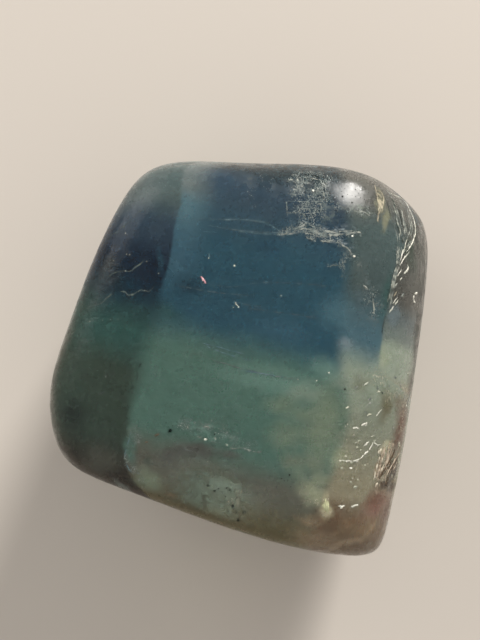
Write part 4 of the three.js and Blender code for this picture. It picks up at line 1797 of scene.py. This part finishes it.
PALE_THREADS = lines(
    (0.08, 0.5, (-1.86, 12.52), (-1.14, 12.51), (-0.46, 12.48), (0.31, 12.45), (0.94, 12.39),
        (1.38, 12.29)),
    (0.1, 0.4, (1.3, 12.34), (1.74, 12.22), (2.28, 12.09)),
    (0.08, 0.4, (-0.42, 11.4), (0.21, 11.34), (0.93, 11.25), (1.65, 11.19), (2.28, 11.14), (3.09, 11.07),
        (3.81, 10.93)),
    (0.07, 0.7, (-3.66, 11.42), (-2.94, 11.37), (-2.31, 11.32)),
    (0.14, 0.3, (-3.06, 9.47), (-3.05, 9.02)),
    (0.08, 0.7, (2.28, 12.06), (2.91, 11.66), (3.45, 11.29)),
    (0.06, 0.8, (-0.95, 5.14), (0.66, 4.73), (2.1, 4.55)),
    (0.1, 0.7, (-3.84, 1.4), (-2.48, 1.05), (-1.13, 0.69), (0.03, 0.42)),
    (0.1, 0.8, (-3.39, 1.13), (-1.85, 0.51), (-0.41, 0.06), (0.66, -0.2)),
    (0.12, 0.7, (-0.24, -1.1), (1.74, -1.37), (3.79, -1.72)),
)
MID_GLINTS = lines(
    (0.1, 0.0, (-0.68, 4.95), (-0.55, 4.78), (-0.41, 4.6)),
    (0.1, 0.0, (-3.64, 7.21), (-3.52, 7.01)),
)
ROSE_MARK = lines(
    (0.2, 0.1, (-3.79, 7.39), (-3.64, 7.19), (-3.52, 6.97), (-3.33, 6.77)),
)
# a painted glint where an inner cleavage corner catches the light
BRIGHT_STREAK = lines(
    (0.34, 0.3, (7.36, -12.6), (7.42, -13.0), (7.48, -13.5), (7.55, -13.95)),
    (0.34, 0.3, (7.56, -12.81), (7.64, -13.36), (7.63, -13.87)),
    (0.26, 0.4, (7.27, -12.9), (7.32, -13.44), (7.4, -13.81)),
    (0.16, 0.1, (7.56, -14.37), (7.66, -14.56)),
)
OLIVE_DASHES = lines(
    (0.22, 0.0, (-7.99, -7.07), (-7.8, -6.95), (-7.53, -6.8)),
    (0.2, 0.0, (-8.89, -7.62), (-8.53, -7.56)),
)
HEALED = (
    Line(((-4.8, 12.6), (-2.1, 12.5), (0.6, 12.4), (2.4, 12.2)), 0.1, 0.7),
    Line(((-3.4, 12.0), (-0.3, 11.5), (2.4, 11.3), (5.1, 11.3)), 0.12, 0.5),
    Line(((-3.9, 6.8), (-1.2, 6.4), (1.7, 6.8), (5.1, 6.7), (8.2, 6.4)), 0.1, 0.8),
    Line(((-0.3, 4.6), (3.3, 4.1), (6.9, 3.6)), 0.08, 0.8),
    Line(((-6.2, 6.6), (-3.0, 6.0), (0.6, 5.6)), 0.08, 0.8),
)
PALE_HEALED = (
    Line(((-4.8, 0.4), (-3.6, 0.2), (-2.5, -0.3)), 0.12, 0.7),
    Line(((-2.5, -0.3), (-1.2, -0.6), (0.2, -1.1)), 0.14, 0.6),
    Line(((0.2, -1.0), (2.9, -1.6), (5.1, -1.9)), 0.1, 0.8),
    Line(((7.7, 8.2), (8.2, 8.35), (8.8, 8.3)), 0.16, 0.5),
)
DARK_LINES = lines(
    (0.14, 0.2, (-9.18, -0.41), (-9.45, -0.91)),
    (0.07, 0.4, (-9.52, -1.13), (-9.54, -1.59), (-9.56, -2.04)),
    (0.2, 0.1, (-9.81, -2.58), (-10.0, -2.81)),
    (0.13, 0.3, (-10.09, -3.03), (-9.99, -3.26)),
    (0.12, 0.2, (-10.5, -4.21), (-10.36, -4.48)),
    (0.07, 0.5, (-10.22, -4.84), (-10.26, -5.47), (-10.31, -6.1)),
    (0.13, 0.1, (5.58, 16.66), (5.95, 16.63), (6.31, 16.59), (6.67, 16.48), (6.89, 16.43)),
    (0.1, 0.6, (-6.66, 10.35), (-6.61, 9.71)),
)
SHADE_LINES = lines(
    (0.18, 0.2, (12.46, -3.03), (12.6, -3.14), (12.7, -3.27)),
    (0.1, 0.5, (13.8, 14.39), (13.88, 13.61), (13.89, 13.04)),
    (0.18, 0.35, (13.87, 12.76), (14.0, 12.11), (14.18, 11.57), (14.36, 11.02), (14.5, 10.43)),
    (0.1, 0.5, (14.37, 13.76), (14.41, 13.09), (14.52, 12.34)),
    (0.24, 0.1, (14.51, 10.85), (14.53, 10.39)),
    (0.08, 0.6, (13.89, 8.55), (13.7, 7.91), (13.55, 7.18)),
    (0.08, 0.6, (13.22, 6.27), (13.13, 5.55), (13.04, 4.74)),
    (0.1, 0.6, (12.85, 3.84), (12.67, 3.11), (12.53, 2.21)),
    (0.1, 0.4, (14.12, 13.93), (14.31, 13.17), (14.47, 12.43), (14.59, 11.68)),
    (0.08, 0.4, (14.84, 13.83), (15.01, 13.06), (15.1, 12.2), (15.05, 11.44)),
    (0.13, 0.3, (13.64, 14.78), (13.82, 14.09), (13.86, 13.42), (14.02, 12.68)),
    (0.1, 0.5, (13.03, 14.41), (13.22, 13.66), (13.38, 12.82)),
)
FROST = strokes(
    (1.2, 1.0, (5.0, 16.0), (5.2, 14.8), (5.8, 13.2)), (1.1, 1.0, (7.2, 16.2), (7.0, 14.6), (6.8, 13.2)),
    (0.8, 0.7, (5.4, 16.4), (7.4, 16.2)), (0.8, 0.6, (4.6, 13.4), (6.0, 12.8)),
    (0.6, 1.0, (3.4, 11.1), (4.3, 11.5), (5.8, 11.9), (6.6, 11.5)), (0.7, 1.0, (5.8, 11.2), (6.2, 10.8)),
    (0.4, 1.0, (6.4, 11.4), (7.4, 11.3), (8.8, 11.2), (10.6, 11.2)),
    (0.4, 1.0, (7.0, 10.6), (8.2, 10.4), (9.1, 10.0), (9.7, 9.4)), (0.6, 0.8, (6.5, 11.2), (7.6, 10.9)),
    (0.5, 0.9, (9.0, 9.6), (8.9, 8.4), (9.1, 7.4)), (0.35, 0.9, (7.7, 8.4), (8.6, 8.3)),
    (0.8, 1.0, (5.0, 11.8), (6.0, 11.9), (7.0, 11.3)), (0.6, 0.12, (0.5, 16.2), (0.9, 13.9)),
    (0.9, 0.08, (1.9, 16.5), (3.0, 14.6)), (0.3, 1.0, (7.05, 16.6), (7.3, 15.5), (7.55, 14.1)),
    (0.25, 0.9, (5.0, 16.9), (6.6, 16.8)), (0.5, 1.0, (5.6, 11.7), (5.9, 10.9)),
    (0.3, 1.0, (7.2, 10.9), (8.4, 10.6), (9.3, 9.8)), (0.25, 1.0, (7.0, 11.4), (9.0, 11.3)),
    (0.3, 1.0, (-10.5, -7.9), (-10.65, -8.7), (-10.5, -9.6)), (0.5, 0.6, (-10.4, -9.6), (-9.2, -10.9)),
    (0.8, 0.6, (8.6, 13.6), (9.8, 13.3), (11.2, 13.2)), (0.8, 0.3, (10.3, 8.6), (11.2, 5.8), (11.8, 3.4)),
    (0.5, 0.3, (11.6, 6.4), (12.6, 4.4)),
    (0.8, 0.6, (-5.4, -5.9), (-4.8, -6.0), (-3.6, -6.0), (-2.2, -6.2), (-0.6, -7.4), (1.2, -7.9)),
    (0.6, 0.7, (-9.9, -6.4), (-9.6, -7.4)), (0.8, 0.3, (9.5, -2.2), (11.0, -1.8)),
)
PALE_FROST = strokes(
    (1.1, 0.5, (12.0, -1.6), (13.0, -2.4), (13.6, -3.6)), (0.5, 0.8, (15.0, -3.0), (14.7, -7.0)),
    (1.1, 0.5, (5.4, -12.2), (7.0, -13.2)), (1.5, 0.15, (9.4, -7.2), (10.4, -10.8)),
    (0.8, 0.4, (-0.8, -13.4), (-0.4, -12.0)), (0.5, 0.9, (7.4, -12.7), (7.5, -14.0)),
)
FAN_FROST = strokes(
    (0.6, 1.0, (13.5, -8.1), (13.2, -9.6)), (0.4, 0.7, (13.1, -9.6), (12.5, -11.0)),
    (0.4, 0.5, (12.4, -11.6), (12.3, -12.3)), (0.5, 0.4, (14.1, -11.0), (14.2, -11.6)),
)
STRAW_FROST = strokes(
    (0.42, 1.0, (12.15, 15.3), (12.45, 14.3), (12.4, 13.0)), (0.3, 1.0, (12.7, 14.9), (12.6, 13.8)),
)
WHITE_SPECKS = specks(
    (-0.68, 4.96, 0.16), (-0.41, 4.6, 0.18), (-0.88, 4.57, 0.11), (6.31, 15.11, 0.3), (9.95, 9.13, 0.27),
    (-0.8, 8.3, 0.25), (3.4, 5.6, 0.13), (-3.1, 9.0, 0.12), (7.7, -1.3, 0.2), (6.6, -2.0, 0.16),
    (4.9, -1.9, 0.12), (-3.2, -9.3, 0.11), (9.4, -6.0, 0.13), (9.9, -10.9, 0.12), (-14.0, 3.3, 0.11),
)
LEFT_SPECKS = specks(
    (-12.79, 3.41, 0.12), (-12.05, 3.46, 0.12), (-11.35, 3.49, 0.12), (-12.44, -1.7, 0.2),
    (-10.6, 9.41, 0.16), (-10.32, 9.38, 0.16), (-11.81, 8.85, 0.16), (-10.68, 7.89, 0.16),
    (-8.93, 6.1, 0.16), (-8.75, 8.73, 0.16), (-10.72, 11.36, 0.16), (-7.65, 7.64, 0.16),
)
DARK_SPECKS = specks(
    (8.96, 14.56, 0.2), (10.17, 15.24, 0.12), (10.15, 14.58, 0.1), (9.81, 14.02, 0.19), (10.6, 14.49, 0.1),
    (10.97, 14.32, 0.1), (9.42, 14.75, 0.09), (8.88, 15.03, 0.1), (11.37, 14.99, 0.09),
    (-3.2, -11.45, 0.21), (-2.57, -11.93, 0.23), (-1.49, -11.65, 0.21), (-1.18, -11.83, 0.26),
    (-2.21, -11.7, 0.18), (-0.59, -12.5, 0.18), (-0.95, -13.32, 0.36), (-0.46, -14.62, 0.31),
    (0.03, -13.86, 0.21), (-1.85, -12.15, 0.13), (0.03, -11.86, 0.13), (-0.24, -12.76, 0.13),
    (4.15, -10.46, 0.23), (9.14, -2.78, 0.21), (-6.58, -6.54, 0.39), (-2.57, -6.86, 0.18),
    (-3.11, -11.44, 0.16), (-0.68, -12.59, 0.18), (0.03, -12.85, 0.15), (-1.31, -13.79, 0.16),
    (-0.59, -13.87, 0.18), (0.21, -13.76, 0.18), (2.45, -10.5, 0.15), (3.44, -10.77, 0.16),
    (2.99, -11.49, 0.15), (-1.58, -12.42, 0.14), (10.4, 14.9, 0.1), (10.75, 15.2, 0.1), (10.9, 14.75, 0.1),
    (11.15, 15.3, 0.09), (9.2, 15.3, 0.1), (9.5, 15.5, 0.09), (10.5, 15.6, 0.09),
)


@dataclass
class Studio:
    """The pale floor, the soft lights and the camera over the show face."""

    floor_half: float = 400.0
    floor_gap: float = 0.03  # mm from the stone's seat down to the floor, so that the two faces don't meet
    floor_colour: Colour = (0.555, 0.51, 0.458)
    camera_distance: float = 160.0
    camera_over: tuple[float, float] = (-0.28, 3.43)
    frame_height: float = 62.4  # mm that the picture's height spans at the stone's middle
    sensor: float = 36.0

    def floor(self) -> bpy.types.Object:
        """Lays the floor."""
        half = self.floor_half * METRE
        mesh = bpy.data.meshes.new("floor")
        low = -self.floor_gap * METRE
        corners = [(-half, -half, low), (half, -half, low), (half, half, low), (-half, half, low)]
        mesh.from_pydata(corners, [], [(0, 1, 2, 3)])
        piece = new_piece("floor", mesh)
        tree = ShaderTree("pale_floor")
        shader = tree.node("BsdfPrincipled")
        tree.put(shader.inputs["Base Color"], self.floor_colour)
        tree.put(shader.inputs["Roughness"], 0.8)
        mesh.materials.append(tree.finish(shader))
        return piece

    def lamp(self, name: str, place: Place, size: Spot, power: float, colour: Colour) -> None:
        """Hangs an oval lamp that faces the stone's middle.

        Args:
            name: the lamp's name.
            place: where it hangs, in mm.
            size: its width and height, in mm.
            power: its power, in watts.
            colour: its colour.
        """
        light = bpy.data.lights.new(name, "AREA")
        light.shape = "ELLIPSE"
        light.size, light.size_y = size[0] * METRE, size[1] * METRE
        light.energy = power
        light.color = colour
        lamp = bpy.data.objects.new(name, light)
        bpy.context.scene.collection.objects.link(lamp)
        lamp.location = Vector(place) * METRE
        towards = Vector((0, 0, HALF_HEIGHT)) * METRE - lamp.location
        lamp.rotation_euler = towards.to_track_quat("-Z", "Y").to_euler()

    def camera(self) -> None:
        """Sets the camera straight above the show face."""
        data = bpy.data.cameras.new("camera")
        data.sensor_width = self.sensor
        data.lens = self.sensor * self.camera_distance / self.frame_height
        data.clip_start = 0.001
        camera = bpy.data.objects.new("camera", data)
        bpy.context.scene.collection.objects.link(camera)
        camera.location = Vector((*self.camera_over, HALF_HEIGHT + self.camera_distance)) * METRE
        bpy.context.scene.camera = camera

    def build(self) -> None:
        """Sets up the whole studio."""
        self.camera()
        self.floor()
        world = bpy.data.worlds.new("soft_room")
        world.use_nodes = True
        world.node_tree.nodes["Background"].inputs["Color"].default_value = (1.0, 0.96, 0.92, 1.0)
        world.node_tree.nodes["Background"].inputs["Strength"].default_value = 0.6
        bpy.context.scene.world = world
        bpy.context.scene.view_settings.view_transform = "Standard"
        self.lamp("key", (275, 610, 275), (170, 540), 8.4, (1.0, 0.97, 0.93))
        self.lamp("corner_fill", (-470, 370, 260), (480, 480), 1.2, (1.0, 0.97, 0.93))


def main() -> None:
    """Builds the stone, its marks and the studio, and reports each piece."""
    logging.basicConfig(level=logging.INFO, format="%(name)s: %(message)s")
    stone = Stone().build()
    skin = Skin(stone)
    ribbons, strewn, dotted = crack_tree(), flake_tree(), speck_tree()
    # the silver lines are painted glints of the cracks
    silver = RIDGE_CRACKS + LOW_GLINTS + ARCH_GLINTS + FROST_GLINTS + MID_GLINTS
    grey = RIDGE_HAIRS + RIDGE_THREADS + FROST_SMEARS + ARCH_HAIRS + LOW_HAIRS
    cracks = (
        Cracks("crack_glints", Glint.SILVER, silver, chip=0.22, seed=3),
        # pale painted glints of the cracks
        Cracks("pearly_cracks", Glint.PEARL, LOW_PEARLS, seed=4),
        Cracks("grey_cracks", Glint.GREY, grey, seed=5),
        Cracks("frosted_threads", Glint.FROST, FROST_THREADS, seed=12),
        Cracks("pale_threads", Glint.TEAL, PALE_THREADS + VEIL_EDGE, seed=23),
        Cracks("olive_cracks", Glint.OLIVE, LEFT_CRACKS + PALE_HEALED, seed=6),
        Cracks("straw_cracks", Glint.STRAW, STRAW_CRACKS, chip=0.3, skew=0.2, seed=7),
        Cracks("streak_glint", Glint.YELLOW, BRIGHT_STREAK, chip=0.3, skew=0.2, seed=20),
        Cracks("buff_cracks", Glint.BUFF, FAN_EDGE, chip=0.3, skew=0.08, seed=8),
        Cracks("fawn_cracks", Glint.FAWN, FAN_CRACKS + FAN_THREADS, chip=0.4, skew=0.06, seed=24),
        Cracks("rosy_mark", Glint.PINK, ROSE_MARK, seed=10),
        Cracks("healed_cracks", Glint.BLUE, HEALED, seed=9),
        Cracks("dark_lines", Glint.DARK, DARK_LINES, seed=11),
        Cracks("shaded_lines", Glint.SHADE, SHADE_LINES, seed=22),
        Cracks("umber_gaps", Glint.UMBER, FAN_GAPS + OLIVE_DASHES, skew=0.1, seed=25),
        Strays("hair_scratches", Glint.BLUE, seed=31, count=80),
    )
    clouds = (
        Flakes("frost_flakes", Glint.FROST, FROST, 340.0, 0.125, 0.5, 1.5, 0.7, clumps=2.8, seed=13),
        Flakes("pale_flakes", Glint.BUFF, PALE_FROST, 90.0, 0.17, 0.4, 1.4, 0.6, seed=14),
        Flakes("fan_flakes", Glint.FAWN, FAN_FROST, 60.0, 0.5, 0.14, 1.38, 0.08, clumps=2.0, seed=18),
        Flakes("straw_flakes", Glint.STRAW, STRAW_FROST, 60.0, 0.22, 0.25, 1.6, 0.2, clumps=2.0, seed=15),
    )
    grains = (
        # the white specks are drawn in the same painted glint finish
        Specks("white_specks", Glint.SILVER, WHITE_SPECKS, seed=17),
        Specks("pale_specks", Glint.GREY, LEFT_SPECKS, seed=16),
        Specks("dark_specks", Glint.DARK, DARK_SPECKS, seed=19),
    )
    pieces = [crack.build(skin, ribbons) for crack in cracks]
    pieces += [cloud.build(skin, strewn) for cloud in clouds]
    pieces += [grain.build(skin, dotted) for grain in grains]
    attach(stone, BODY)
    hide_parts(NODE)
    for piece in pieces:
        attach(piece, BODY)
    for piece in (stone, *pieces):
        LOG.info("%s: %d faces", piece.name, len(piece.data.polygons))
    Studio().build()


if __name__ == "__main__":
    main()
